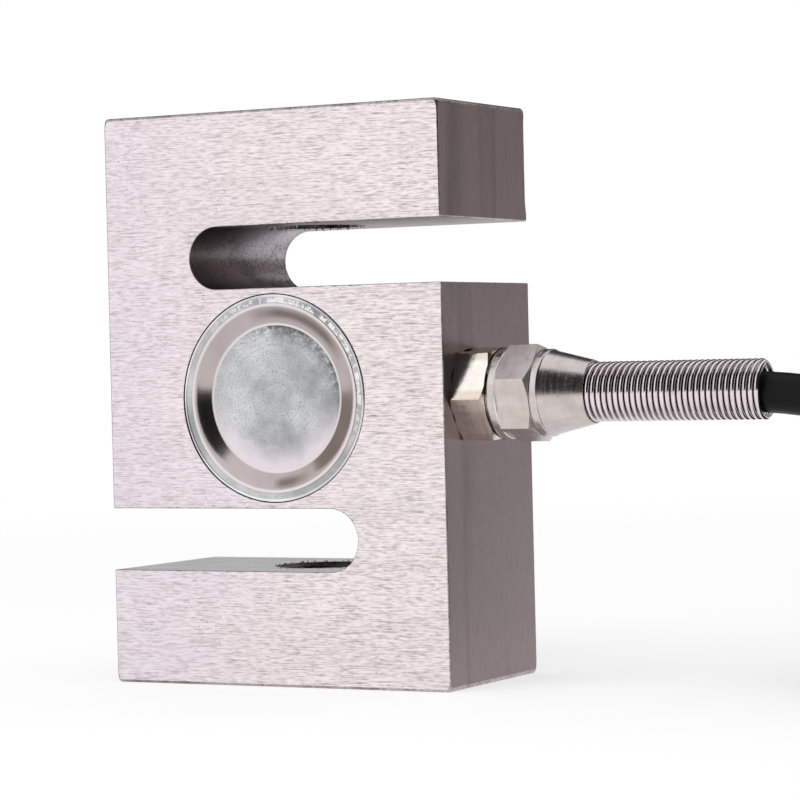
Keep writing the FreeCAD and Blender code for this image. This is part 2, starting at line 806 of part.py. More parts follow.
def build_tie():
    """A cable tie drawn tight round the coil: a closed band with its head on the outer side."""
    thickness, width = value("tie_thickness"), value("tie_width")
    head_length, head_height = value("tie_head_length"), value("tie_head_height")
    hold = [Vector(radius, 0, max(height, thickness)) for radius, height in coil_section()]
    inside = Part.Face(Part.makePolygon([*hold, hold[0]]))
    band = inside.makeOffset2D(thickness, 0, False, False, False).cut(inside)
    band = band.extrude(Vector(0, width, 0))
    band.translate(Vector(0, -width / 2, 0))
    outside = max(place.x for place in hold) + thickness
    level = value("coil_turns_high * cable_radius") - head_height
    corner = Vector(outside - value("tie_head_overlap"), -head_length / 2, level)
    head = Part.makeBox(head_height, head_length, head_length, corner)
    tie = doc.addObject("Part::Feature", "coil_tie")
    tie.Label = "coil_tie"
    tie.Shape = band.fuse(head)
    tie.Placement = Placement(coil_middle(), Rotation(Vector(0, 0, 1), value("tie_turn")))
    return tie


def build_coil(neighbours):
    """The mean surface of all the turns, cut clear of the cable's free stretches and of the tie."""
    section = [Vector(radius, 0, height) for radius, height in coil_section(value("coil_hollows"))]
    ring = Part.Face(Part.makePolygon([*section, section[0]])).revolve(Vector(0, 0, 0), Vector(0, 0, 1), 360)
    ring.translate(coil_middle())
    for piece in neighbours:
        ring = max(ring.cut(piece.Shape).Solids, key=lambda solid: solid.Volume)
    coil = doc.addObject("Part::Feature", "cable_coil")
    coil.Label = "cable_coil"
    coil.Shape = ring
    return coil


def build_free_cable():
    """The cable from the spring's root, down onto its coil, and behind it to its four stripped cores."""
    radius = value("cable_radius")
    lead = build_tube("cable_lead", lead_points(), radius, CABLE_SIDES)
    end_route = tail_points()
    tail = build_tube("cable_tail", end_route, radius, CABLE_SIDES)
    tie = build_tie()
    ending = build_stripped_end(end_route[-1], end_route[-1] - end_route[-2])
    coil = build_coil([lead, tail, tie])
    return [lead, coil, tail, tie, *ending]


def build_sleeve(end, heading):
    """The shrunk sleeve over the jacket's end."""
    length, radius = value("sleeve_length"), value("cable_radius")
    start = end - heading * value("sleeve_length - sleeve_overhang")
    outside = Part.makeCylinder(radius + value("sleeve_wall"), length, start, heading)
    sleeve = doc.addObject("Part::Feature", "end_sleeve")
    sleeve.Label = "end_sleeve"
    sleeve.Shape = outside.cut(Part.makeCylinder(radius, length, start, heading))
    return sleeve


def core_end_points(end, heading, fan):
    """The route of a stripped core: straight out, then down to the surface and along it."""
    side, level, aside, reach = fan
    across = Vector(0, 0, 1).cross(heading)
    spread, lying = value("tail_core_spread"), value("tail_core_radius")
    leave = end + across * (side * spread) + Vector(0, 0, level * spread)
    straight = leave + heading * value("tail_core_straight")
    landing = end + heading * (reach * FAN_TURN) + across * (aside / 2)
    last = end + heading * reach + across * aside
    landing.z = lying + FAN_CLEARANCES[0]
    last.z = lying + FAN_CLEARANCES[1]
    return [leave, straight, landing, last]


def build_stripped_end(end, heading):
    """The sleeve on the jacket's end and the four cores that fan out to the surface, each with a bare tip."""
    heading.normalize()
    pieces, tips = [build_sleeve(end, heading)], []
    for label, fan in CORE_FAN.items():
        points = core_end_points(end, heading, fan)
        pieces.append(build_tube(label, points, value("tail_core_radius"), CORE_SIDES))
        out = points[-1] - points[-2]
        out.normalize()
        tip = Part.Face(many_sided(points[-1], out, value("tail_tip_radius"), CORE_SIDES))
        tips.append(tip.extrude(out * value("tail_tip_length")))
    group = doc.addObject("Part::Feature", "tail_core_tips")
    group.Label = "tail_core_tips"
    group.Shape = Part.makeCompound(tips)
    return [*pieces, group]


def build_all():
    """Every sub-part, in the order in which the real one goes together."""
    parts = [build_beam()]
    for label, side, level in (
        ("front_upper_gauge", 1, 1),
        ("front_lower_gauge", 1, -1),
        ("rear_upper_gauge", -1, 1),
        ("rear_lower_gauge", -1, -1),
    ):
        parts.append(build_gauge(label, side, level))
    parts.append(build_board())
    parts.append(build_resistor("upper_trim_resistor", 1))
    parts.append(build_resistor("lower_trim_resistor", -1))
    for label, side, step in (
        ("core_red", 1, 1.5),
        ("core_black", 1, 0.5),
        ("core_green", -1, -0.5),
        ("core_white", -1, -1.5),
    ):
        parts.append(build_core(label, side, step))
    parts += [build_cover("front_cover", 1), build_cover("rear_cover", -1)]
    parts += [build_gland_ring(), build_gland_body(), build_seal(), build_washer(), build_nut()]
    parts += [build_spring(), build_inner_cable(), *build_free_cable()]
    return parts


def check_and_export(parts):
    """Stop on any failed object or bad shape, and then write each sub-part."""
    doc.recompute()
    for item in doc.Objects:
        if "Invalid" in item.State or "Error" in item.State:
            raise ValueError(f"{item.Label} failed: {item.State}")
    for part in parts:
        if part.Shape.isNull() or not part.Shape.isValid() or not part.Shape.Solids:
            raise ValueError(f"{part.Label} has no valid solid")
        print(f"{part.Label}: {len(part.Shape.Solids)} solid, {part.Shape.Volume:.1f} cubic mm")
    os.makedirs("parts", exist_ok=True)
    for part in parts:
        part.Shape.exportStep(f"parts/{part.Label}.step")


check_and_export(build_all())
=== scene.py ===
"""Dressed scene of an S type load cell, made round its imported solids.

Lengths in the classes are millimetres in the part's own frame, and pieces are scaled to metres when they are placed.
The studio is in metres.
"""

import logging
import math
from collections.abc import Callable, Iterator, Sequence
from dataclasses import dataclass
from enum import Enum, IntEnum
from functools import partial, reduce

import bmesh
import bpy
from mathutils import Matrix, Vector, noise


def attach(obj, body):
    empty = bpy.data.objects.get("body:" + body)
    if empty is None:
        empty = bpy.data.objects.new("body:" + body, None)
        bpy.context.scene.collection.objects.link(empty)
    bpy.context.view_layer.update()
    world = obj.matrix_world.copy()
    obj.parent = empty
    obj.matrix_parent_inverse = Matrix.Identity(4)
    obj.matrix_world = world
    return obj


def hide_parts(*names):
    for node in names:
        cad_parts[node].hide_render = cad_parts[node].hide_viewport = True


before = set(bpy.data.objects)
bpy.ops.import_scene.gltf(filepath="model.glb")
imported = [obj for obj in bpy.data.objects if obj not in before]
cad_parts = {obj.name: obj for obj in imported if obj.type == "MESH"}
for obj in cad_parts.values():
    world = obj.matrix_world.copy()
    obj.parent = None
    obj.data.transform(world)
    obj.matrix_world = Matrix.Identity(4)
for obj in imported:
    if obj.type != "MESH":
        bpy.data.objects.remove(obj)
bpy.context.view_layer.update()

log = logging.getLogger("load_cell")

MM = 0.001
TO_METRES = Matrix.Diagonal((MM, MM, MM, 1))
BODY = "root"
DRAWN_OUT = 0.022  # stretch of a pattern along the marks
NEAR = 0.01  # room in which a face lies on a surface
SQUARE = 0.99  # part of a normal along an axis for a face square to it
SETBACK_SHARE = 0.49  # most of a side that a rounding takes
Colour = tuple[float, float, float, float]
Point = tuple[float, float, float]
Socket = bpy.types.NodeSocket
Material = bpy.types.Material
Piece = bpy.types.Object
Ring = Callable[[float], tuple[float, float]]


class Grain(Enum):
    """The direction in which a tool left its marks, as the stretch of their pattern."""

    ALONG_X = (DRAWN_OUT, 1.0, 1.0)
    ALONG_Z = (1.0, 1.0, DRAWN_OUT)
    EVEN = (1.0, 1.0, 1.0)


class Section(Enum):
    """What is wound round an axis."""

    WIRE = "wire"
    THREAD_RIDGE = "thread_ridge"


class Skin(IntEnum):
    """The block's finishes, in the order of its materials."""

    FACE = 0
    SIDE = 1
    END = 2
    SLOT = 3
    EDGE = 4
    BORE = 5
    SLOT_FLOOR = 6


def grey(level: float, warmth: float = 0.0) -> Colour:
    """A linear grey, made warmer by a positive warmth and bluer by a negative one."""
    return (level * (1 + warmth), level, level * (1 - warmth), 1.0)


def rgb(red: float, green: float, blue: float) -> Colour:
    """A linear colour."""
    return (red, green, blue, 1.0)


def ease(value: float) -> float:
    """A soft step from nought to one."""
    value = min(max(value, 0.0), 1.0)
    return value * value * (3 - 2 * value)


# Placing pieces


def stand(name: str, data: bpy.types.ID) -> Piece:
    """Put data into the scene as an object at the origin.

    Args:
        name: The object's name.
        data: Its mesh, curve, lamp or camera.

    Returns:
        The object.
    """
    made = bpy.data.objects.new(name, data)
    bpy.context.scene.collection.objects.link(made)
    return made


def settled(item: Piece) -> bpy.types.Mesh:
    """A plain mesh of an object and its modifiers."""
    depsgraph = bpy.context.evaluated_depsgraph_get()
    return bpy.data.meshes.new_from_object(item.evaluated_get(depsgraph), depsgraph=depsgraph)


def mesh_of(shape: bmesh.types.BMesh) -> bpy.types.Mesh:
    """Turn a shape's faces outwards and free the shape into a mesh.

    Args:
        shape: The shape.

    Returns:
        Its mesh.
    """
    bmesh.ops.recalc_face_normals(shape, faces=shape.faces)
    mesh = bpy.data.meshes.new("shape")
    shape.to_mesh(mesh)
    shape.free()
    return mesh


def carry(piece: Piece, slot: str, stands_for: Sequence[str] = ()) -> Piece:
    """Tie a piece to the body and hide the solids that it stands for.

    Args:
        piece: The finished object.
        slot: Not used.
        stands_for: Names of the solids that it replaces.

    Returns:
        The same object.
    """
    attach(piece, BODY)
    if stands_for:
        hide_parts(*stands_for)
    log.info("%s rides on %s and stands for %s", piece.name, BODY, ", ".join(stands_for) or "nothing")
    return piece


def place_mesh(
    mesh: bpy.types.Mesh,
    name: str,
    finishes: Sequence[Material],
    slot: str,
    stands_for: Sequence[str] = (),
    crease: float = 30.0,
) -> Piece:
    """Make a mesh in millimetres a piece.

    Args:
        mesh: The mesh.
        name: The piece's name.
        finishes: Its materials in order.
        slot: The record's material slot.
        stands_for: Names of the solids that it replaces.
        crease: Edges sharper than this many degrees stay sharp.

    Returns:
        The new object.
    """
    mesh.name = name
    mesh.transform(TO_METRES)
    for finish in finishes[len(mesh.materials) :]:
        mesh.materials.append(finish)
    mesh.shade_smooth()
    mesh.set_sharp_from_angle(angle=math.radians(crease))
    return carry(stand(name, mesh), slot, stands_for)


def even_angles(count: int) -> list[float]:
    """Equal steps round a circle."""
    return [2 * math.pi * step / count for step in range(count)]


def ring(height: float, radius: float) -> Ring:
    """A round ring at a height on the axis."""
    return lambda angle: (height, radius)


def rings(profile: Sequence[tuple[float, float]]) -> list[Ring]:
    """Round rings through a profile of (height, radius) points."""
    return [ring(height, radius) for height, radius in profile]


def bend(corner: Vector, before: Vector, after: Vector, steps: int) -> list[Vector]:
    """Points of a rounding that runs between two offsets from its corner."""
    shares = [step / steps for step in range(steps + 1)]
    return [corner + before * (1 - share) ** 2 + after * share**2 for share in shares]


def rounded(corners: Sequence[Point], steps: int = 4) -> list[tuple[float, float]]:
    """Round the corners of an open profile.

    Args:
        corners: Points as (height, radius, setback), where the setback is the length rounded off each side.
        steps: Steps in each rounding.

    Returns:
        The profile as (height, radius) points.
    """
    profile = []
    for index, (height, radius, setback) in enumerate(corners):
        if setback == 0 or index in (0, len(corners) - 1):
            profile.append((height, radius))
            continue
        corner = Vector((height, radius))
        ways = [Vector(corners[beside][:2]) - corner for beside in (index - 1, index + 1)]
        before, after = (way.normalized() * min(setback, way.length * SETBACK_SHARE) for way in ways)
        profile += [tuple(point) for point in bend(corner, before, after, steps)]
    return profile


def in_steps(points: Sequence[Vector], length: float) -> list[Vector]:
    """Divide a closed outline into short steps.

    Args:
        points: Its points.
        length: The steps' length.

    Returns:
        The outline with points added.
    """
    fine = []
    for start, end in zip(points, points[1:] + points[:1]):
        count = max(1, round((end - start).length / length))
        fine += [start.lerp(end, part / count) for part in range(count)]
    return fine


def outward(points: Sequence[Vector]) -> list[Vector]:
    """Directions out of a closed outline that runs anticlockwise, one for each point."""
    ways = [(points[(index + 1) % len(points)] - points[index - 1]).normalized() for index in range(len(points))]
    return [Vector((way.y, -way.x)) for way in ways]


def skin(shape: bmesh.types.BMesh, loops: Sequence[list[bmesh.types.BMVert]], closed: bool = False) -> None:
    """Join loops of vertices into a skin, where a loop of one vertex is a pole.

    Args:
        shape: The shape that takes the faces.
        loops: The loops in order.
        closed: Whether the last loop joins the first.
    """
    count = max(len(loop) for loop in loops)
    for lower, upper in zip(loops, [*loops[1:], loops[0]] if closed else loops[1:]):
        for index in range(count):
            following = index + 1
            corners = [lower[index % len(lower)], lower[following % len(lower)]]
            corners += [upper[following % len(upper)], upper[index % len(upper)]]
            corners = list(dict.fromkeys(corners))
            if len(corners) > 2:
                shape.faces.new(corners)


def turned(levels: Sequence[Ring], angles: Sequence[float], axis: Matrix, closed: bool = False) -> bmesh.types.BMesh:
    """Join rings of points about an axis into a skin.

    Args:
        levels: The rings from one end to the other, where a radius of nought makes a pole.
        angles: The angles of each ring's points.
        axis: The frame whose Z is the turning axis.
        closed: Whether the last ring joins the first, as on a piece with a bore.

    Returns:
        The shape in millimetres.
    """
    shape = bmesh.new()
    loops = []
    for level in levels:
        pole = level(angles[0])[1] == 0
        loop = []
        for angle in angles[:1] if pole else angles:
            height, radius = level(angle)
            place = Vector((radius * math.cos(angle), radius * math.sin(angle), height))
            loop.append(shape.verts.new(axis @ place))
        loops.append(loop)
    skin(shape, loops, closed)
    return shape


def axis_frame(origin: Sequence[float], heading: Sequence[float]) -> Matrix:
    """A frame at a point whose Z looks along a heading."""
    turn = Vector(heading).to_track_quat("Z", "X").to_matrix().to_4x4()
    return Matrix.Translation(origin) @ turn


# Node trees


class Nodes:
    """A node tree, with short calls that add nodes and feed them."""

    def __init__(self, tree: bpy.types.NodeTree) -> None:
        """Take an emptied tree."""
        self.tree = tree
        self.tree.nodes.clear()

    def node(self, kind: str, sockets: dict | None = None, **settings: object) -> bpy.types.Node:
        """Add a node.

        Args:
            kind: The node's type.
            sockets: Values or sockets for its inputs, by name or number.
            settings: Its own properties.

        Returns:
            The node.
        """
        made = self.tree.nodes.new(kind)
        for key, value in settings.items():
            setattr(made, key, value)
        for key, value in (sockets or {}).items():
            self.feed(made.inputs[key], value)
        return made

    def feed(self, socket: Socket, value: object) -> None:
        """Link a socket to another, or set its value.

        Args:
            socket: The socket that is fed.
            value: The other socket or the value.
        """
        if isinstance(value, Socket):
            self.tree.links.new(value, socket)
        else:
            socket.default_value = value

    def span(self, value: Socket, low: float, high: float, to_low: float = 0.0, to_high: float = 1.0) -> Socket:
        """Map a range onto another, held at its ends."""
        sockets = {0: value, 1: low, 2: high, 3: to_low, 4: to_high}
        return self.node("ShaderNodeMapRange", sockets).outputs[0]

    def maths(self, operation: str, first: object, second: object = 0.0) -> Socket:
        """One step of arithmetic."""
        return self.node("ShaderNodeMath", {0: first, 1: second}, operation=operation).outputs[0]

    def total(self, *terms: object) -> Socket:
        """The sum of some values."""
        return reduce(partial(self.maths, "ADD"), terms)

    def times(self, *factors: object) -> Socket:
        """The product of some values."""
        return reduce(partial(self.maths, "MULTIPLY"), factors)


class Graph(Nodes):
    """The node tree of one finish, with short calls for what the finishes share."""

    def __init__(self, name: str) -> None:
        """Start a material with object coordinates.

        Args:
            name: The material's name.
        """
        self.material = bpy.data.materials.new(name)
        self.material.use_nodes = True
        super().__init__(self.material.node_tree)
        self.here = self.node("ShaderNodeTexCoord").outputs["Object"]

    def show(self, shader: bpy.types.Node) -> Material:
        """Give the material a shader."""
        self.node("ShaderNodeOutputMaterial", {"Surface": shader.outputs[0]})
        return self.material

    def surface(self, **values: object) -> Material:
        """Give the material a principled shader, whose sockets are named with underscores for spaces."""
        sockets = {key.replace("_", " "): value for key, value in values.items()}
        return self.show(self.node("ShaderNodeBsdfPrincipled", sockets))

    def coords(self, stretch: Sequence[float] = (1, 1, 1), centre: Sequence[float] = (0, 0, 0)) -> Socket:
        """Object coordinates in millimetres, from a centre and stretched.

        Args:
            stretch: The factor along each axis.
            centre: The point from which they count.

        Returns:
            The vector.
        """
        scale = [factor / MM for factor in stretch]
        shift = [-factor * place for factor, place in zip(stretch, centre)]
        mapping = self.node("ShaderNodeMapping", {"Vector": self.here, "Scale": scale, "Location": shift})
        return mapping.outputs[0]

    def clouds(
        self, scale: float, detail: float = 3.0, roughness: float = 0.5, vector: Socket | None = None
    ) -> Socket:
        """Smooth noise from nought to one.

        Args:
            scale: Its scale per millimetre.
            detail: Its octaves.
            roughness: The share of the finer octaves.
            vector: Its coordinates, or the object's own.

        Returns:
            The noise.
        """
        vector = self.coords() if vector is None else vector
        sockets = {"Vector": vector, "Scale": scale, "Detail": detail, "Roughness": roughness}
        return self.node("ShaderNodeTexNoise", sockets).outputs[0]

    def cells(self, scale: float, vector: Socket | None = None) -> Socket:
        """Distance to the nearest of scattered points."""
        sockets = {"Vector": self.coords() if vector is None else vector, "Scale": scale}
        return self.node("ShaderNodeTexVoronoi", sockets).outputs["Distance"]

    def band(self, value: Socket, rise: tuple[float, float], fall: tuple[float, float]) -> Socket:
        """One between two soft edges, each with its range."""
        return self.times(self.span(value, *rise), self.span(value, *fall))

    def blend(self, factor: object, first: object, second: object) -> Socket:
        """Mix two colours."""
        sockets = {0: factor, 6: first, 7: second}
        return self.node("ShaderNodeMix", sockets, data_type="RGBA").outputs[2]

    def relief(self, height: Socket, depth: float, under: Socket | None = None) -> Socket:
        """Bump of a depth in millimetres.

        Args:
            height: The height from nought to one.
            depth: What a height of one stands for.
            under: Another bump that it lies on.

        Returns:
            The normal.
        """
        sockets = {"Height": height, "Strength": 1.0, "Distance": depth * MM}
        if under is not None:
            sockets["Normal"] = under
        return self.node("ShaderNodeBump", sockets).outputs[0]

    def radius_from(self, vector: Socket) -> Socket:
        """The length of a vector."""
        return self.node("ShaderNodeVectorMath", {0: vector}, operation="LENGTH").outputs["Value"]

    def parts(self, vector: Socket) -> tuple[Socket, Socket, Socket]:
        """The parts of a vector along X, Y and Z."""
        return tuple(self.node("ShaderNodeSeparateXYZ", {0: vector}).outputs)


# Finishes

REAR_LIGHT = rgb(0.62, 0.56, 0.62)
PIT_GREY = grey(0.08, 0.1)
# Painted shade at the cover disc's edge beside the wall.
RECESS_SHADE_GREY = grey(0.09, -0.05)
# Painted dark reflection on the cover's wall.
REFLECTION_BROWN = rgb(0.16, 0.12, 0.11)
# Painted highlight on the cover disc's lower edge.
HIGHLIGHT_PINK = rgb(0.86, 0.78, 0.85)
# Painted shade on the cover disc's left.
LEFT_SHADE_GREY = grey(0.42, -0.02)
CHIP_WHITE = rgb(0.95, 0.9, 0.92)
# Painted highlight on the cover wall's bends.
BEND_HIGHLIGHT = rgb(0.86, 0.8, 0.81)
SPECK_GREY = grey(0.12, 0.15)
BARE_BRASS = rgb(0.52, 0.33, 0.17)
DUST_GREY = grey(0.3)


@dataclass(frozen=True)
class GroundSteel:
    """Steel ground or milled in one direction: its streaks, stains, pits and the light at its rear end."""

    name: str
    light: Colour
    dark: Colour
    grain: Grain
    tint: Colour
    roughness: float = 0.36
    streak_depth: float = 0.0025
    pits: float = 1.0
    stain: float = 0.3
    contrast: float = 0.8
    fineness: float = 10.0
    paler_behind: float = 0.0
    streak_share: float = 0.5
    hair_share: float = 0.2
    cloud_share: float = 0.3
    darkening: tuple[float, float] = (0.535, 0.34)

    def stretch(self, change: Callable[[float], float]) -> list[float]:
        """The grain's stretch along each axis, changed."""
        return [change(factor) for factor in self.grain.value]

    def material(self) -> Material:
        """Build the finish.

        Returns:
            The material.
        """
        graph = Graph(self.name)
        x, y, _ = graph.parts(graph.coords())
        streaks = graph.clouds(self.fineness, 3.0, 0.6, graph.coords(self.grain.value))
        finer = graph.coords(self.stretch(lambda factor: factor * 0.5 if factor < 1 else 1))
        hair = graph.clouds(self.fineness * 2, 2.0, 0.5, finer)
        cloud = graph.clouds(4.0, vector=graph.coords(self.stretch(lambda factor: factor**0.4)))
        patches = graph.clouds(0.35, vector=graph.coords(self.stretch(lambda factor: factor * 0.5 + 0.03)))
        dots = graph.cells(2.1, graph.coords(self.stretch(lambda factor: 0.45 if factor < 1 else 1)))
        drift = graph.total(x, graph.times(graph.clouds(0.05, 3.0, 0.55), 60.0))
        colour = graph.blend(graph.span(drift, 8.0, 50.0), self.tint, self.light)
        colour = graph.blend(graph.span(y, -9.0, 11.0, 0.0, self.paler_behind), colour, REAR_LIGHT)
        shares = ((streaks, self.streak_share), (hair, self.hair_share), (cloud, self.cloud_share))
        shade = graph.total(*(graph.times(*pair) for pair in shares))
        fading = graph.span(drift, 12.0, 55.0, 0.85, 1.05)
        streaked = graph.times(graph.span(shade, *self.darkening), fading, self.contrast)
        colour = graph.blend(streaked, colour, self.dark)
        colour = graph.blend(graph.span(patches, 0.5, 0.75, 0.0, self.stain), colour, self.dark)
        where = graph.span(graph.clouds(0.16, 3.0, 0.6), 0.47, 0.66)
        pitted = graph.times(graph.span(dots, 0.22, 0.1), where, self.pits)
        colour = graph.blend(pitted, colour, PIT_GREY)
        rough = graph.span(streaks, 0.3, 0.7, self.roughness - 0.07, self.roughness + 0.09)
        normal = graph.relief(graph.maths("SUBTRACT", shade, graph.times(pitted, 1.5)), self.streak_depth)
        return graph.surface(Base_Color=colour, Metallic=1.0, Roughness=rough, Normal=normal)


@dataclass(frozen=True)
class PressedTin:
    """Bright tinned sheet of a cover.

    Its shares are those of turned marks, painted shade in a torn patch at the disc's edge on the upper right, flakes
    on the rim, painted dark reflections as brown streaks on the wall, a pale arc of painted highlight at the bottom
    with painted shade on the left, and painted highlights on the wall's bends.
    """

    name: str
    light: Colour
    dark: Colour
    roughness: float
    marks: float = 0.0
    # Share of painted shade that darkens the disc's edge beside the wall, upper right.
    recess_shade: float = 0.0
    flakes: float = 0.0
    # Share of painted dark reflections, as brown streaks high and low on the wall.
    streaks: float = 0.0
    # Share of the painted highlight on the disc's lower edge and of the painted shade on its left.
    lower_highlight_and_left_shade: float = 0.0
    # Share of painted highlights on the wall's bends.
    bend_highlights: float = 0.0
    centre: Point = (0.0, 0.0, 38.1)

    def material(self) -> Material:
        """Build the finish.

        Returns:
            The material.
        """
        graph = Graph(self.name)
        flat = graph.coords((1, 0, 1), self.centre)
        far = graph.radius_from(flat)
        across, _, up = graph.parts(flat)
        side = graph.total(graph.times(up, 0.8), graph.times(across, 0.6))
        turning = graph.node("ShaderNodeCombineXYZ", {0: graph.total(far, graph.clouds(0.5, 2.0))}).outputs[0]
        lines = graph.times(graph.clouds(2.6, vector=turning), 0.35)
        mottle = graph.total(lines, graph.times(graph.clouds(3.4, 3.0, 0.7), 0.65))
        broad = graph.clouds(0.11, 3.0, 0.6)
        colour = graph.blend(graph.span(broad, 0.35, 0.68), self.light, self.dark)
        colour = graph.blend(graph.span(mottle, 0.52, 0.36, 0.0, self.marks), colour, self.dark)
        # Painted shade: the disc darkens towards its edge by the wall on the upper right, torn by noise.
        torn = graph.span(graph.clouds(1.1, 5.0, 0.75), 0.34, 0.56)
        shaded_edge = graph.times(graph.span(far, 7.2, 9.6), graph.span(side, 2.0, 7.0), torn, self.recess_shade)
        colour = graph.blend(shaded_edge, colour, RECESS_SHADE_GREY)
        # Painted dark reflections: brown streaks on the wall's slope, high and low round the axis.
        around = graph.maths("ARCTAN2", up, across)
        high = graph.band(around, (0.45, 0.75), (1.9, 1.5))
        low = graph.band(around, (-1.62, -1.5), (-1.05, -1.35))
        slope = graph.band(far, (10.3, 11.0), (12.2, 11.4))
        colour = graph.blend(graph.times(graph.maths("MAXIMUM", high, low), slope, self.streaks), colour, REFLECTION_BROWN)
        # Painted highlight: a pale arc along the disc's lower edge.
        edge = graph.span(graph.total(far, graph.times(graph.clouds(0.5), 2.0)), 7.0, 9.9)
        colour = graph.blend(graph.times(edge, graph.span(up, 0.0, -6.0), self.lower_highlight_and_left_shade), colour, HIGHLIGHT_PINK)
        # Painted shade: the disc dims towards its left.
        left = graph.span(graph.total(across, broad), -1.0, -9.6, 0.0, 0.6)
        colour = graph.blend(graph.times(left, self.lower_highlight_and_left_shade, graph.span(up, -6.0, 0.0)), colour, LEFT_SHADE_GREY)
        chips = graph.span(graph.clouds(0.8, 6.0, 0.72), 0.47, 0.52)
        rim = graph.band(far, (12.5, 12.7), (13.35, 13.2))
        flaked = graph.times(chips, graph.span(side, 0.0, 9.0), rim, self.flakes)
        colour = graph.blend(flaked, colour, CHIP_WHITE)
        # Painted highlights: the wall pales at both its bends.
        bends = graph.maths("MAXIMUM", graph.span(far, 10.0, 9.8), graph.span(far, 12.0, 12.25))
        bends = graph.times(bends, self.bend_highlights)
        colour = graph.blend(bends, colour, BEND_HIGHLIGHT)
        rough = graph.span(mottle, 0.3, 0.7, self.roughness * 0.75, self.roughness * 1.3)
        rough = graph.total(rough, graph.times(bends, 0.25))
        normal = graph.relief(graph.total(mottle, flaked), 0.012 * self.marks + 0.0008)
        return graph.surface(Base_Color=colour, Metallic=1.0, Roughness=rough, Normal=normal)


@dataclass(frozen=True)
class Plating:
    """Nickel plating over turned or milled brass, with marks both ways, worn edges and a ripple under them."""

    name: str
    light: Colour
    dark: Colour
    roughness: float
    mark_pitch: float = 3.0
    mark_depth: float = 0.003
    warm_edges: float = 0.0
    ripple: float = 0.0
    drawn_out: float = 0.06

    def material(self) -> Material:
        """Build the finish.

        Returns:
            The material.
        """
        graph = Graph(self.name)
        long = self.drawn_out
        marks = graph.times(graph.clouds(self.mark_pitch, 4.0, 0.6, graph.coords((1, long, long))), 0.7)
        cross = graph.times(graph.clouds(self.mark_pitch, 3.0, 0.6, graph.coords((long, 1, 1))), 0.3)
        both = graph.total(marks, cross)
        broad = graph.span(graph.clouds(0.35, 3.0, 0.6), 0.4, 0.7, 0.0, 0.7)
        colour = graph.blend(broad, self.light, self.dark)
        colour = graph.blend(graph.span(both, 0.5, 0.34, 0.0, 0.6), colour, self.dark)
        specks = graph.span(graph.cells(1.6), 0.09, 0.04)
        colour = graph.blend(graph.times(specks, 0.5), colour, SPECK_GREY)
        convex = graph.node("ShaderNodeNewGeometry").outputs["Pointiness"]
        colour = graph.blend(graph.times(graph.span(convex, 0.53, 0.6), self.warm_edges), colour, BARE_BRASS)
        rough = graph.span(both, 0.3, 0.7, self.roughness * 0.75, self.roughness * 1.35)
        normal = graph.relief(both, self.mark_depth, graph.relief(graph.clouds(2.4, 2.0), self.ripple))
        return graph.surface(Base_Color=colour, Metallic=1.0, Roughness=rough, Normal=normal)


@dataclass(frozen=True)
class Moulded:
    """Plastic or rubber, with a fine skin, rubbed patches and dust."""

    name: str
    base: Colour
    rubbed: Colour
    roughness: float
    skin_depth: float = 0.01
    coat: float = 0.0
    shine: float = 0.5

    def material(self) -> Material:
        """Build the finish.

        Returns:
            The material.
        """
        graph = Graph(self.name)
        broad = graph.clouds(0.22, 4.0, 0.6)
        dust = graph.span(graph.cells(1.1), 0.06, 0.02, 0.0, 0.5)
        colour = graph.blend(graph.span(broad, 0.42, 0.72), self.base, self.rubbed)
        return graph.surface(
            Base_Color=graph.blend(dust, colour, DUST_GREY),
            Roughness=graph.span(broad, 0.3, 0.75, self.roughness - 0.08, self.roughness + 0.1),
            Normal=graph.relief(graph.clouds(6.0, 3.0, 0.6), self.skin_depth),
            Coat_Weight=self.coat,
            Coat_Roughness=0.3,
            Specular_IOR_Level=self.shine,
        )


@dataclass(frozen=True)
class GaugeFilm:
    """Foil grid of a strain gauge under its clear film."""

    name: str
    foil: Colour = rgb(0.5, 0.4, 0.28)
    film: Colour = rgb(0.42, 0.2, 0.05)
    dark_film: Colour = rgb(0.3, 0.13, 0.03)

    def material(self) -> Material:
        """Build the finish.

        Returns:
            The material.
        """
        graph = Graph(self.name)
        slanted = {"Vector": graph.coords((0.7071, 1, 0.7071)), "Scale": 1.4, "Distortion": 0.3}
        foil = graph.span(graph.node("ShaderNodeTexWave", slanted).outputs["Fac"], 0.45, 0.6)
        film = graph.blend(graph.clouds(1.2), self.film, self.dark_film)
        return graph.surface(
            Base_Color=graph.blend(foil, film, self.foil),
            Metallic=graph.times(foil, 0.8),
            Roughness=0.35,
            Normal=graph.relief(foil, 0.02),
            Coat_Weight=0.4,
        )


@dataclass(frozen=True)
class Laminate:
    """Green glass laminate of the terminal board, whose raised pads are tinned."""

    name: str
    pad_level: float = -2.83
    pads: Colour = rgb(0.62, 0.6, 0.56)
    board: Colour = rgb(0.02, 0.13, 0.05)
    weave: Colour = rgb(0.03, 0.2, 0.08)
    cloud: Colour = rgb(0.05, 0.22, 0.08)

    def material(self) -> Material:
        """Build the finish.

        Returns:
            The material.
        """
        graph = Graph(self.name)
        weave = graph.node("ShaderNodeTexChecker", {"Vector": graph.coords(), "Scale": 1.6}).outputs["Fac"]
        board = graph.blend(graph.times(weave, 0.25), self.board, self.weave)
        board = graph.blend(graph.span(graph.clouds(0.6), 0.4, 0.8, 0.0, 0.5), board, self.cloud)
        _, depth, _ = graph.parts(graph.coords())
        pad = graph.span(depth, self.pad_level + NEAR, self.pad_level - NEAR)
        normal = graph.relief(graph.clouds(2.5), 0.02)
        colour = graph.blend(pad, board, self.pads)
        return graph.surface(Base_Color=colour, Metallic=pad, Roughness=0.36, Normal=normal)


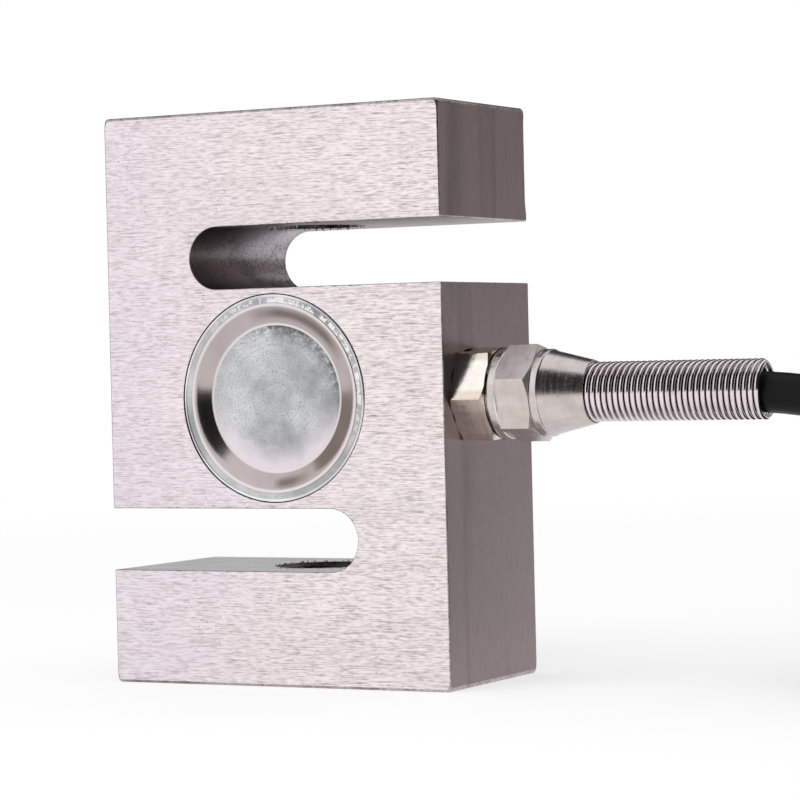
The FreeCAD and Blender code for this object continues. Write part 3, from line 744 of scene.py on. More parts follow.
@dataclass(frozen=True)
class TinnedStrands:
    """Tinned copper of the bare core tips."""

    name: str
    tin: Colour = rgb(0.7, 0.67, 0.62)
    copper: Colour = rgb(0.6, 0.33, 0.2)

    def material(self) -> Material:
        """Build the finish.

        Returns:
            The material.
        """
        graph = Graph(self.name)
        colour = graph.blend(graph.span(graph.clouds(0.9, 3.0, 0.6), 0.52, 0.7), self.tin, self.copper)
        normal = graph.relief(graph.clouds(7.0), 0.006)
        return graph.surface(Base_Color=colour, Metallic=1.0, Roughness=0.3, Normal=normal)


BLOCK_STEELS = {
    Skin.FACE: GroundSteel(
        "ground_face",
        rgb(1.0, 0.905, 0.9),
        rgb(0.25, 0.2, 0.19),
        Grain.ALONG_X,
        rgb(0.91, 0.815, 0.875),
        pits=0.65,
        stain=0.12,
        contrast=1.0,
    ),
    Skin.SIDE: GroundSteel(
        "ground_side",
        rgb(0.42, 0.345, 0.355),
        rgb(0.2, 0.155, 0.16),
        Grain.ALONG_Z,
        rgb(0.36, 0.3, 0.31),
        roughness=0.42,
        pits=0.25,
        stain=0.75,
        contrast=0.5,
    ),
    Skin.END: GroundSteel(
        "ground_end", rgb(0.4, 0.35, 0.335), rgb(0.22, 0.19, 0.18), Grain.ALONG_X, rgb(0.35, 0.31, 0.31), pits=0.5
    ),
    Skin.SLOT: GroundSteel(
        "milled_slot",
        rgb(0.22, 0.18, 0.18),
        rgb(0.04, 0.03, 0.03),
        Grain.EVEN,
        rgb(0.18, 0.15, 0.155),
        streak_depth=0.012,
        stain=0.75,
        contrast=1.0,
        fineness=1.9,
        paler_behind=0.8,
    ),
    Skin.EDGE: GroundSteel(
        "broken_edge",
        rgb(0.6, 0.54, 0.54),
        rgb(0.11, 0.09, 0.09),
        Grain.EVEN,
        rgb(0.45, 0.4, 0.4),
        stain=0.8,
        fineness=1.2,
    ),
    Skin.BORE: GroundSteel(
        "bored_hole", rgb(0.25, 0.22, 0.21), rgb(0.07, 0.06, 0.055), Grain.EVEN, rgb(0.16, 0.14, 0.135), stain=0.9
    ),
    Skin.SLOT_FLOOR: GroundSteel(
        "slot_floor",
        rgb(0.5, 0.49, 0.51),
        rgb(0.2, 0.19, 0.2),
        Grain.ALONG_X,
        rgb(0.42, 0.42, 0.44),
        roughness=0.28,
        contrast=0.4,
    ),
}


# Block


@dataclass
class Block:
    """The S shaped steel block: outline with two slots, broken edges, seats, bores and gland hole."""

    width: float = 50.8
    depth: float = 25.4
    height: float = 76.2
    slot_gap: float = 8.3
    slot_overrun: float = 12.3
    slot_steps: int = 24
    middle_height: float = 29.1
    corner_round: float = 0.6
    mouth_round: float = 0.2
    round_steps: int = 5
    step: float = 0.5
    edge_break: float = 0.38
    side_break: float = 0.15
    slot_break: float = 0.1
    break_profile: tuple[tuple[float, float], ...] = ((1.0, 0.0), (0.5, 0.134), (0.134, 0.5), (0.0, 1.0))
    wear_scale: float = 0.8
    wear: float = 0.1
    slot_wear: float = 0.3
    end_fade: float = 1.4
    mouth_fade: tuple[float, float] = (0.3, 1.2)
    rear_widening: float = 2.0
    nick_scale: float = 3.0
    nick_level: float = 0.3
    nick_depth: float = 0.3
    seat: tuple[float, float] = (13.8, 0.8)
    seat_break: float = 0.05
    chamber_radius: float = 12.2
    web: float = 4.0
    thread_radius: float = 6.0
    mouth_break: float = 0.5
    bore_sides: int = 96
    seat_sides: int = 144
    gland_sides: int = 64
    gland_axis: tuple[float, float] = (-5.1, 38.1)
    gland_hole: tuple[tuple[float, float], ...] = (
        (26.4, 0.0),
        (26.4, 4.85),
        (24.6, 4.85),
        (24.6, 4.0),
        (16.4, 4.0),
        (16.4, 2.9),
        (9.0, 2.9),
        (9.0, 0.0),
    )

    @property
    def slot_levels(self) -> tuple[float, float]:
        """The upper slot's floor and roof."""
        floor = (self.height + self.middle_height) / 2
        return floor, floor + self.slot_gap

    def half_outline(self) -> list[Point]:
        """List the corners from the lower right one up the right side and round the upper slot.

        Returns:
            The corners as (x, z, rounding).
        """
        half, radius = self.width / 2, self.slot_gap / 2
        floor, roof = self.slot_levels
        centre = radius - self.slot_overrun
        corners = [(half, 0.0, self.corner_round), (half, floor, self.mouth_round), (centre, floor, 0.0)]
        for number in range(1, self.slot_steps):
            angle = math.radians(-90 - 180 * number / self.slot_steps)
            corners.append((centre + radius * math.cos(angle), floor + radius + radius * math.sin(angle), 0.0))
        corners += [(centre, roof, 0.0), (half, roof, self.mouth_round), (half, self.height, self.corner_round)]
        return corners

    def outline(self) -> list[Vector]:
        """Draw the whole outline in X and Z, anticlockwise as the front shows it.

        Returns:
            Its points in short steps.
        """
        corners = self.half_outline()
        corners += [(-x, self.height - z, bend_size) for x, z, bend_size in corners]
        bent = []
        for index, (x, z, bend_size) in enumerate(corners):
            corner = Vector((x, z))
            if bend_size == 0:
                bent.append(corner)
                continue
            before = (Vector(corners[index - 1][:2]) - corner).normalized() * bend_size
            after = (Vector(corners[(index + 1) % len(corners)][:2]) - corner).normalized() * bend_size
            for part in range(self.round_steps + 1):
                turn = math.radians(90 / self.round_steps * part)
                bent.append(corner + before * (1 - math.sin(turn)) + after * (1 - math.cos(turn)))
        return in_steps(bent, self.step)

    def breaking(self, point: Vector, side: int) -> float:
        """Find how wide the edge is broken at a point of the outline.

        Args:
            point: The point in X and Z.
            side: The front (-1) or the back (1).

        Returns:
            The width.
        """
        floor, roof = self.slot_levels
        half = self.width / 2
        level = point.y if point.x > 0 else self.height - point.y
        on_side = abs(point.x) > half - NEAR
        from_end = min(point.y, self.height - point.y)
        place = Vector((point.x * self.wear_scale, side * 40.0, point.y * self.wear_scale))
        from_mouth = max(floor - level, level - roof)
        if on_side and from_mouth > 0 or from_end < self.corner_round:
            width = self.side_break + (self.edge_break - self.side_break) * ease(self.end_fade - from_end)
            if side > 0 and on_side and point.x > 0 and level > roof:
                width *= 1 + self.rear_widening * ease(min(from_mouth - 0.8, from_end - self.corner_round) / 2)
            worn = width * (1 + self.wear * noise.noise(place))
            start, length = self.mouth_fade
            return self.slot_break + (worn - self.slot_break) * ease((from_mouth - start) / length)
        nick = max(0.0, noise.noise(place * self.nick_scale) - self.nick_level) * self.nick_depth
        nick *= ease((half - abs(point.x) - 0.7) / 2)
        return self.slot_break * (1 + self.slot_wear * noise.noise(place)) + nick

    def blank(self) -> bmesh.types.BMesh:
        """Shape the block with its slots and broken edges, before any hole.

        Returns:
            The shape.
        """
        points = self.outline()
        ways_out = outward(points)
        shape = bmesh.new()
        loops = []
        for side in (-1, 1):
            levels = []
            for inset, drop in self.break_profile:
                loop = []
                for point, way_out in zip(points, ways_out):
                    size = self.breaking(point, side)
                    spot = point - way_out * size * inset
                    loop.append(shape.verts.new((spot.x, side * (self.depth / 2 - size * drop), spot.y)))
                levels.append(loop)
            loops += levels if side < 0 else levels[::-1]
        skin(shape, loops)
        shape.faces.new(loops[0])
        shape.faces.new(loops[-1])
        return shape

    def cutters(self) -> Iterator[bmesh.types.BMesh]:
        """Shape what is cut away: threaded bores, chambers with their seats, and the gland's hole.

        Yields:
            The cutters.
        """
        upper_roof = self.slot_levels[1]
        bore, brk = self.thread_radius, self.mouth_break
        for low, high in ((upper_roof, self.height), (0.0, self.height - upper_roof)):
            profile = [(low - 1, 0), (low - 1, bore + brk), (low, bore + brk), (low + brk, bore)]
            profile += [(high - brk, bore), (high, bore + brk), (high + 1, bore + brk), (high + 1, 0)]
            yield turned(rings(profile), even_angles(self.bore_sides), Matrix.Identity(4))
        (radius, deep), brk, floor = self.seat, self.seat_break, (self.depth - self.web) / 2
        profile = [(-1, 0), (-1, radius + brk), (0, radius + brk), (brk, radius), (deep, radius)]
        profile += [(deep, self.chamber_radius), (floor, self.chamber_radius), (floor, 0)]
        for side in (-1, 1):
            axis = axis_frame((0, side * self.depth / 2, self.height / 2), (0, -side, 0))
            yield turned(rings(profile), even_angles(self.seat_sides), axis)
        axis = axis_frame((0, *self.gland_axis), (1, 0, 0))
        yield turned(rings(self.gland_hole), even_angles(self.gland_sides), axis)

    def finish_of(self, centre: Vector, normal: Vector) -> Skin:
        """Choose the finish of a face.

        Args:
            centre: The face's centre.
            normal: Its normal.

        Returns:
            The finish.
        """
        half_x, half_y = self.width / 2, self.depth / 2
        if abs(normal.y) > SQUARE and abs(abs(centre.y) - half_y) < NEAR:
            return Skin.FACE
        if abs(normal.x) > SQUARE and abs(abs(centre.x) - half_x) < NEAR:
            return Skin.SIDE
        if abs(normal.z) > SQUARE and min(centre.z, self.height - centre.z) < NEAR:
            return Skin.END
        from_middle = math.hypot(centre.x, centre.z - self.height / 2)
        on_seat = self.seat_break + NEAR
        if abs(from_middle - self.seat[0]) < on_seat and abs(centre.y) > half_y - on_seat:
            return Skin.FACE
        if math.hypot(centre.x, centre.y) < self.thread_radius + NEAR and abs(normal.z) < 0.5:
            return Skin.BORE
        if from_middle < self.seat[0] + NEAR and abs(centre.y) < half_y - 0.1:
            return Skin.BORE
        floor, roof = self.slot_levels
        level = max(centre.z, self.height - centre.z)
        in_slot = floor - NEAR < level < roof + NEAR and abs(centre.x) < half_x - self.mouth_round
        if abs(normal.y) > 0.1 or not in_slot:
            return Skin.EDGE
        if abs(normal.z) <= SQUARE:
            return Skin.SLOT
        return Skin.SLOT_FLOOR if normal.z > 0 else Skin.SIDE

    def build(self) -> Piece:
        """Cut the block and dress it.

        Returns:
            The block.
        """
        work = stand("blank", mesh_of(self.blank()))
        tools = [stand(f"tool_{number}", mesh_of(shape)) for number, shape in enumerate(self.cutters())]
        for tool in tools:
            cut = work.modifiers.new(tool.name, "BOOLEAN")
            cut.operation, cut.solver, cut.object = "DIFFERENCE", "EXACT", tool
        mesh = settled(work)
        for item in (work, *tools):
            bpy.data.objects.remove(item)
        faces = [self.finish_of(face.center, face.normal) for face in mesh.polygons]
        materials = [BLOCK_STEELS[kind].material() for kind in Skin]
        piece = place_mesh(mesh, "s_block", materials, "beam_steel", ["s_beam"], crease=36.0)
        mesh.polygons.foreach_set("material_index", faces)
        self.sharpen_borders(mesh, faces)
        return piece

    @staticmethod
    def sharpen_borders(mesh: bpy.types.Mesh, finishes: Sequence[int]) -> None:
        """Keep the edges between differently finished faces sharp, so that the flat faces shade flat.

        Args:
            mesh: The block's mesh.
            finishes: Each face's finish.
        """
        beside: dict[int, set[int]] = {}
        for face, finish in zip(mesh.polygons, finishes):
            for loop in face.loop_indices:
                beside.setdefault(mesh.loops[loop].edge_index, set()).add(finish)
        for number, found in beside.items():
            if len(found) > 1:
                mesh.edges[number].use_edge_sharp = True


# Covers


@dataclass
class Cover:
    """A cover spun from sheet: disc, slanted wall, rolled shoulder and flat rim."""

    name: str
    side: int
    stands_for: str
    face: float = 12.7
    middle: float = 38.1
    outside: tuple[Point, ...] = (
        (-0.95, 0.0, 0.0),
        (-0.97, 9.72, 0.3),
        (-0.12, 11.9, 0.7),
        (-0.05, 12.5, 0.05),
        (-0.15, 12.56, 0.03),
        (-0.12, 12.7, 0.1),
        (-0.1, 13.3, 0.15),
        (-0.02, 13.42, 0.1),
        (-0.02, 13.62, 0.1),
        (-0.2, 13.76, 0.1),
    )
    inside: tuple[Point, ...] = (
        (-0.8, 13.76, 0.05),
        (-0.8, 12.05, 0.4),
        (-1.5, 9.6, 0.5),
        (-1.5, 0.0, 0.0),
    )
    zones: Point = (9.6, 12.5, 13.36)
    sides: int = 160
    bend_steps: int = 7

    def finishes(self) -> list[Material]:
        """Make the finishes of disc, wall, rim and lip.

        Returns:
            The materials in order.
        """
        zones = (
            # The disc carries painted shade at its edge and on its left, and a painted highlight at its bottom.
            PressedTin(
                f"{self.name}_disc", grey(0.88, -0.01), grey(0.3, -0.03), 0.42, marks=0.85, recess_shade=0.95, lower_highlight_and_left_shade=0.9
            ),
            # The wall carries painted dark reflections and painted highlights on its bends.
            PressedTin(
                f"{self.name}_wall", rgb(0.5, 0.445, 0.44), rgb(0.4, 0.34, 0.335), 0.13, streaks=0.85, bend_highlights=0.8
            ),
            PressedTin(f"{self.name}_rim", rgb(0.68, 0.67, 0.7), grey(0.3, -0.02), 0.36, marks=0.6, flakes=0.95),
            PressedTin(f"{self.name}_lip", grey(0.9), grey(0.5), 0.25),
        )
        return [zone.material() for zone in zones]

    def build(self) -> Piece:
        """Turn the cover and dress it by zones.

        Returns:
            The cover.
        """
        axis = axis_frame((0, self.side * self.face, self.middle), (0, self.side, 0))
        profile = rounded(self.outside + self.inside, self.bend_steps)
        shape = turned(rings(profile), even_angles(self.sides), axis)
        for face in shape.faces:
            centre = face.calc_center_median()
            far = math.hypot(centre.x, centre.z - self.middle)
            face.material_index = sum(far > start for start in self.zones)
        return place_mesh(mesh_of(shape), self.name, self.finishes(), "cover_steel", [self.stands_for])


# Pieces on the gland's axis


@dataclass(frozen=True)
class Hexagon:
    """A milled hexagon with softened corners."""

    radius: float
    turn: float
    soft: float = 0.22
    near_corner: tuple[float, ...] = (0.0, 0.7, 1.4, 2.4, 4.0, 7.0, 11.0, 16.0, 22.0, 28.0)
    half_side: float = math.radians(30)

    @property
    def flat(self) -> float:
        """The distance of the flats from the axis."""
        return self.radius * math.cos(self.half_side)

    def angles(self) -> list[float]:
        """Divide the circle, closely at the hexagon's corners.

        Returns:
            The angles round the hexagon.
        """
        offsets = sorted({sign * step for sign in (-1, 1) for step in self.near_corner})
        return [math.radians(self.turn + 60 * corner + offset) for corner in range(6) for offset in offsets]

    def reach(self, angle: float) -> float:
        """Measure from the axis to the skin.

        Args:
            angle: The angle round the axis.

        Returns:
            The skin's distance from the axis.
        """
        off = math.radians(abs((math.degrees(angle) - self.turn + 30) % 60 - 30))
        centre = (self.flat - self.soft) / math.cos(self.half_side)
        tangent = math.atan2(self.soft / 2, centre + self.soft * math.cos(self.half_side))
        if off < tangent:
            return centre * math.cos(off) + math.sqrt(max(self.soft**2 - (centre * math.sin(off)) ** 2, 0))
        return self.flat / math.cos(self.half_side - off)

    def end(self, height: float, start: float, slope: float) -> Ring:
        """The ring where the flats meet a chamfer.

        Args:
            height: The height of the hexagon's end.
            start: The radius where the chamfer starts on the end.
            slope: Height per radius, positive at the lower end and negative at the upper one.

        Returns:
            The ring.
        """
        return lambda angle: (height + slope * max(self.reach(angle) - start, 0), self.reach(angle))


@dataclass
class Fitting:
    """The gland body and the nut that screws on it, both on the gland's axis."""

    origin: tuple[float, float, float] = (25.4, -5.1, 38.1)
    gland_hex: Hexagon = Hexagon(6.6, 35.0)
    gland_hex_length: float = 4.8
    nut_hex: Hexagon = Hexagon(6.5, 14.0)
    nut_hex_span: tuple[float, float] = (6.35, 10.9)
    nut_front_slope: float = 0.54
    gland_shank: tuple[Point, ...] = ((6.4, 2.75, 0), (-8.4, 2.75, 0.1), (-8.4, 3.95, 0.35), (0, 3.95, 0.1))
    gland_tube: tuple[Point, ...] = ((4.8, 4.75, 0.1), (9.2, 4.75, 0.2), (9.2, 3.87, 0.1), (6.4, 3.87, 0))
    gland_chamfer: float = 0.7
    gland_slope: float = 0.5
    nut_back: tuple[Point, ...] = (
        (9.8, 4.85, 0),
        (5.05, 4.85, 0.15),
        (5.05, 5.9, 0.3),
        (6.35, 5.9, 0.25),
        (6.37, 5.7, 0),
    )
    nut_front: tuple[Point, ...] = (
        (10.9, 5.4, 0.03),
        (11.0, 5.35, 0.03),
        (11.1, 5.62, 0.06),
        (12.0, 5.62, 0.1),
        (12.1, 5.45, 0.05),
        (17.8, 4.06, 0.1),
        (17.8, 3.88, 0.05),
        (14.0, 3.88, 0.05),
        (14.0, 2.9, 0.1),
        (10.4, 2.9, 0.1),
        (10.4, 4.4, 0.1),
        (9.8, 4.85, 0),
    )
    nut_chamfer: float = 0.5
    nut_back_slope: float = 0.4
    cone_from: float = 5.64
    # Angle below the front of the gland's two flats that take painted shade.
    gland_shaded_way: float = 35.0
    nut_brushed_way: float = -46.0
    cone_slopes: tuple[float, float] = (0.2, 0.97)
    flat_match: float = 0.995

    @property
    def axis(self) -> Matrix:
        """The gland's frame, whose Z looks out of the side face."""
        return Matrix.Translation(self.origin) @ Matrix.Rotation(math.radians(90), 4, "Y")

    def gland(self) -> Piece:
        """Build the gland body with its hexagon, shank and front tube.

        Returns:
            The gland.
        """
        hexagon, top = self.gland_hex, self.gland_hex_length
        start, slope = hexagon.radius - self.gland_chamfer, self.gland_slope
        levels = rings(rounded([*self.gland_shank, (0, start, 0)], 2))
        levels += [hexagon.end(0, start, slope), hexagon.end(top, start, -slope)]
        levels += rings(rounded([(top, start, 0), *self.gland_tube], 2))
        shape = turned(levels, hexagon.angles(), self.axis, closed=True)
        self.part_flats(shape, self.gland_shaded_way)
        light, dark = rgb(0.97, 0.93, 0.9), rgb(0.8, 0.72, 0.65)
        bright = Plating("gland_plating", light, dark, 0.15, 2.2, 0.005, warm_edges=0.6, ripple=0.012)
        # Painted shade: the front lower flat and the one opposite take a darker copy of the plating.
        worn = Plating("gland_shaded_flat", rgb(0.54, 0.47, 0.43), rgb(0.36, 0.28, 0.23), 0.3, 2.2, 0.008)
        finishes = [bright.material(), worn.material()]
        return place_mesh(mesh_of(shape), "gland", finishes, "plated_brass", ["gland_body"], crease=24.0)

    def part_flats(self, shape: bmesh.types.BMesh, way: float) -> None:
        """Give the second finish to the two flats that look along a direction, either way.

        Args:
            shape: The turned shape.
            way: The direction's angle below the front, in degrees.
        """
        across = Vector((0, -math.cos(math.radians(way)), -math.sin(math.radians(way))))
        for face in shape.faces:
            face.normal_update()
            face.material_index = int(abs(face.normal.dot(across)) > self.flat_match)

    def nut(self) -> Piece:
        """Build the compression nut with its collar, hexagon, neck, lip and cone.

        Returns:
            The nut.
        """
        hexagon = self.nut_hex
        low, high = self.nut_hex_span
        levels = rings(rounded(self.nut_back))
        levels.append(hexagon.end(low, hexagon.radius - self.nut_chamfer, self.nut_back_slope))
        levels.append(hexagon.end(high, hexagon.flat, -self.nut_front_slope))
        levels += rings(rounded([(high, hexagon.flat, 0), *self.nut_front], 3)[:-1])
        shape = turned(levels, hexagon.angles(), self.axis, closed=True)
        self.part_flats(shape, self.nut_brushed_way)
        least, most = self.cone_slopes
        for face in shape.faces:
            centre = face.calc_center_median()
            far = math.hypot(centre.y - self.origin[1], centre.z - self.origin[2])
            if far > self.cone_from and least < face.normal.x < most:
                face.material_index = 1
        plain = Plating("nut_turned", rgb(0.68, 0.62, 0.6), rgb(0.5, 0.45, 0.44), 0.24, 3.2, 0.02, warm_edges=0.15)
        brushed = Plating("nut_brushed", rgb(0.97, 0.91, 0.88), rgb(0.72, 0.66, 0.64), 0.42, 5.0, 0.006)
        finishes = [plain.material(), brushed.material()]
        return place_mesh(mesh_of(shape), "nut", finishes, "plated_brass", ["compression_nut"], crease=24.0)


# Wound and scattered pieces


class ShapeTree(Nodes):
    """A geometry tree with named inputs, which ends in real faces of one finish."""

    def __init__(self, name: str, inputs: dict[str, str]) -> None:
        """Start the tree.

        Args:
            name: Its name.
            inputs: The names of its inputs and their kinds.
        """
        super().__init__(bpy.data.node_groups.new(name, "GeometryNodeTree"))
        face = self.tree.interface
        for label, kind in (inputs | {"Finish": "Material"}).items():
            face.new_socket(label, in_out="INPUT", socket_type=f"NodeSocket{kind}")
        face.new_socket("Geometry", in_out="OUTPUT", socket_type="NodeSocketGeometry")
        self.given = self.node("NodeGroupInput").outputs

    def end(self, geometry: Socket) -> None:
        """End the tree with real faces in the given finish.

        Args:
            geometry: What the tree has made.
        """
        whole = self.node("GeometryNodeRealizeInstances", {0: geometry})
        dressed = self.node("GeometryNodeSetMaterial", {0: whole.outputs[0], "Material": self.given["Finish"]})
        self.node("NodeGroupOutput", {0: dressed.outputs[0]})

    def run(self, values: dict[str, object]) -> bpy.types.Mesh:
        """Run the tree.

        Args:
            values: Its inputs by their names.

        Returns:
            A plain mesh, in millimetres.
        """
        holder = stand("holder", bpy.data.meshes.new("holder"))
        modifier = holder.modifiers.new("shape", "NODES")
        modifier.node_group = self.tree
        for item in self.tree.interface.items_tree:
            if item.in_out == "INPUT" and item.name in values:
                modifier[item.identifier] = values[item.name]
        mesh = settled(holder)
        bpy.data.objects.remove(holder)
        return mesh


class WindingTree(ShapeTree):
    """A tree that winds a wire or a thread's ridge round the Z axis."""

    ridge_foot = 1.5
    ridge_crest = 0.28

    def __init__(self, section: Section) -> None:
        """Build the tree.

        Args:
            section: What it winds.
        """
        lengths = dict.fromkeys(("Coil Radius", "Height", "Turns", "Section Size"), "Float")
        super().__init__(f"winding_{section.value}", lengths | {"Steps": "Int", "Section Sides": "Int"})
        given = self.given
        sockets = {"Resolution": given["Steps"], "Rotations": given["Turns"], "Height": given["Height"]}
        sockets |= {"Start Radius": given["Coil Radius"], "End Radius": given["Coil Radius"]}
        spiral = self.node("GeometryNodeCurveSpiral", sockets)
        upright = self.node("GeometryNodeSetCurveNormal", {0: spiral.outputs[0]}, mode="Z_UP")
        if section is Section.WIRE:
            sockets = {"Radius": given["Section Size"], "Resolution": given["Section Sides"]}
            outline = self.node("GeometryNodeCurvePrimitiveCircle", sockets)
        else:
            sockets = {"Height": given["Section Size"], "Bottom Width": self.ridge_foot}
            sockets |= {"Top Width": self.ridge_crest, "Offset": 0.0}
            outline = self.node("GeometryNodeCurvePrimitiveQuadrilateral", sockets, mode="TRAPEZOID")
        sockets = {"Curve": upright.outputs[0], "Profile Curve": outline.outputs[0], "Fill Caps": True}
        self.end(self.node("GeometryNodeCurveToMesh", sockets).outputs[0])


class BurrTree(ShapeTree):
    """A tree that stands torn slivers of metal round a hole's mouth."""

    shift = ((-0.25, -0.25, -0.05), (0.25, 0.25, 0.02))
    lean = ((-0.9, -0.9, 0.0), (0.9, 0.9, 6.2))
    growth = ((0.4, 0.5, 0.3), (2.2, 1.4, 1.2))

    def __init__(self) -> None:
        """Build the tree."""
        lengths = dict.fromkeys(("Mouth Radius", "Share Kept", "Length", "Thickness"), "Float")
        super().__init__("burrs", lengths | {"Places": "Int", "Seed": "Int"})
        given = self.given
        mouth = self.node("GeometryNodeMeshCircle", {"Vertices": given["Places"], "Radius": given["Mouth Radius"]})
        moved = self.node("GeometryNodeSetPosition", {0: mouth.outputs[0], "Offset": self.random(*self.shift)})
        sockets = {"Vertices": 5, "Radius Top": 0.01, "Radius Bottom": given["Thickness"], "Depth": given["Length"]}
        sliver = self.node("GeometryNodeMeshCone", sockets)
        sockets = {6: given["Share Kept"], "Seed": given["Seed"]}
        kept = self.node("FunctionNodeRandomValue", sockets, data_type="BOOLEAN")
        sockets = {"Points": moved.outputs[0], "Instance": sliver.outputs[0], "Selection": kept.outputs[3]}
        sockets |= {"Rotation": self.random(*self.lean), "Scale": self.random(*self.growth)}
        self.end(self.node("GeometryNodeInstanceOnPoints", sockets).outputs[0])

    def random(self, low: Point, high: Point) -> Socket:
        """A random vector for each point."""
        sockets = {0: low, 1: high, "Seed": self.given["Seed"]}
        return self.node("FunctionNodeRandomValue", sockets, data_type="FLOAT_VECTOR").outputs[0]


@dataclass(frozen=True)
class Burrs:
    """Torn metal round a bore's mouth in a slot."""

    name: str
    level: float
    hangs: bool
    seed: int
    radius: float = 6.45
    places: int = 90
    kept: float = 0.6
    length: float = 0.42
    thickness: float = 0.09

    def build(self, tree: BurrTree, finish: Material) -> Piece:
        """Stand the slivers at their level, up or hanging.

        Args:
            tree: The burrs' node tree.
            finish: The steel of broken edges.

        Returns:
            The burrs.
        """
        values = {
            "Mouth Radius": self.radius,
            "Places": self.places,
            "Share Kept": self.kept,
            "Length": self.length,
            "Thickness": self.thickness,
            "Seed": self.seed,
            "Finish": finish,
        }
        mesh = tree.run(values)
        turn = Matrix.Rotation(math.pi if self.hangs else 0.0, 4, "X")
        mesh.transform(Matrix.Translation((0, 0, self.level)) @ turn)
        return place_mesh(mesh, self.name, [finish], "beam_steel", crease=40.0)


@dataclass
class Spring:
    """The close wound strain relief."""

    mean_radius: float = 3.53
    wire_radius: float = 0.32
    start: float = 39.78
    end: float = 66.6
    pitch: float = 0.79
    turn_steps: int = 40
    wire_sides: int = 12
    axis_place: tuple[float, float] = (-5.1, 38.1)

    def build(self) -> Piece:
        """Wind the spring and lay it on the gland's axis.

        Returns:
            The spring.
        """
        finish = Plating("spring_bright", rgb(0.82, 0.76, 0.78), rgb(0.6, 0.54, 0.56), 0.12, 4.0, 0.0015).material()
        values = {
            "Coil Radius": self.mean_radius,
            "Height": self.end - self.start,
            "Turns": (self.end - self.start) / self.pitch,
            "Steps": self.turn_steps,
            "Section Size": self.wire_radius,
            "Section Sides": self.wire_sides,
            "Finish": finish,
        }
        mesh = WindingTree(Section.WIRE).run(values)
        mesh.transform(axis_frame((self.start, *self.axis_place), (1, 0, 0)))
        return place_mesh(mesh, "spring", [finish], "spring_steel", ["strain_relief_spring"], crease=60.0)


@dataclass
class Thread:
    """The ridge of one threaded bore."""

    name: str
    low: float
    high: float
    radius: float = 5.98
    pitch: float = 1.75
    ridge: float = 0.95
    turn_steps: int = 72

    def build(self, tree: WindingTree, finish: Material) -> Piece:
        """Wind the ridge inside its bore.

        Args:
            tree: The winding tree for ridges.
            finish: The bore's material.

        Returns:
            The thread.
        """
        rise = self.high - self.low
        values = {
            "Coil Radius": self.radius - self.ridge / 2,
            "Height": rise,
            "Turns": rise / self.pitch,
            "Steps": self.turn_steps,
            "Section Size": self.ridge,
            "Finish": finish,
        }
        mesh = tree.run(values)
        mesh.transform(Matrix.Translation((0, 0, self.low)))
        return place_mesh(mesh, self.name, [finish], "beam_steel")


# Cable


@dataclass
class Cable:
    """The free cable: its lead from the spring's root, its coil and its end behind the coil."""

    radius: float = 2.6
    length: float = 2.75
    leave: Point = (66.2, -5.1, 37.8)
    root: Point = (40.92, -5.1, 38.1)
    reach: float = 62.3
    setback: float = 31.7
    lead_route: tuple[Point, ...] = (
        (0.0, 0.0, 0.0),
        (0.247, 0.0, 0.0),
        (0.499, 0.04, 0.025),
        (0.708, 0.53, 0.191),
        (0.892, 1.0, 0.593),
    )
    landing_rises: tuple[float, float] = (2.2, 0.4)
    tail_route: tuple[Point, ...] = ((-8.0, 1.1, 0.3), (-25.6, -0.6, 0.3))
    outer_track: float = 36.4
    top_turn: float = 18.2
    tracks: int = 4
    layers: int = 4
    turns: float = 14.5
    turn_points: int = 16
    move_angle: float = 67.5
    tie_turn: float = -28.0
    tie_lift: float = 1.1
    stands_for: tuple[str, ...] = ("cable_lead", "cable_coil", "cable_tail")

    @property
    def coil_middle(self) -> Vector:
        """The middle of the coil on the floor."""
        return Vector((self.root[0] + self.reach, self.root[1] + self.setback, 0))

    def moves(self) -> list[tuple[float, int, int]]:
        """Find where the winding moves by a track or down by a layer.

        Each layer's moves end before the place where the cable comes down onto it, so that no two turns meet.

        Returns:
            The moves as (angle wound so far, tracks, layers).
        """
        found, place = [], 0.0
        for layer in range(self.layers):
            zone_end = -2 * self.move_angle * layer
            for _ in range(self.tracks - 1):
                place += (zone_end - place) % 360 or 360
                found.append((place, 1 if layer % 2 == 0 else -1, 0))
            place += (zone_end - self.move_angle - place) % 360 or 360
            found.append((place, 0, 1))
        return found[:-1]

    def coil(self) -> Iterator[Vector]:
        """Wind layer by layer from the top one, each layer going back over the one before.

        Yields:
            The winding's points.
        """
        pitch, step = 2 * self.radius, 360 / self.turn_points
        grow = 1 / math.cos(math.radians(step / 2))
        moves = self.moves()
        for number in range(round(self.turns * self.turn_points)):
            wound = (number + 0.5) * step
            radius, height = self.outer_track, self.top_turn
            for place, tracks, layers in moves:
                share = ease(1 + (wound - place) / self.move_angle)
                radius -= pitch * tracks * share
                height -= pitch * layers * share
            height += self.landing_rises[number] if number < len(self.landing_rises) else 0.0
            angle = wound - 90
            off = abs((angle - self.tie_turn + 180) % 360 - 180)
            height += self.tie_lift * max(0.0, 1 - off / step) * (1 - height / (self.top_turn + self.radius))
            turn = math.radians(angle)
            out = Vector((math.cos(turn), math.sin(turn), 0))
            yield self.coil_middle + out * (radius * grow) + Vector((0, 0, height))

    def route(self) -> list[Vector]:
        """Lead from the spring's root through the coil to the tail.

        Returns:
            Every point of the cable's route.
        """
        root = Vector(self.root)
        way = Vector((self.reach, self.setback - self.outer_track, self.top_turn - root.z))
        points = [root + way * Vector(share) for share in self.lead_route]
        hindmost = self.coil_middle + Vector((0, self.outer_track, self.radius))
        return points + list(self.coil()) + [hindmost + Vector(place) for place in self.tail_route]

    def build(self, finish: Material) -> Piece:
        """Lay the cable along its route.

        Args:
            finish: The jacket's material.

        Returns:
            The cable.
        """
        return place_line("cable", self.route(), self.radius, finish, "cable_jacket", self.stands_for, 6, 5)


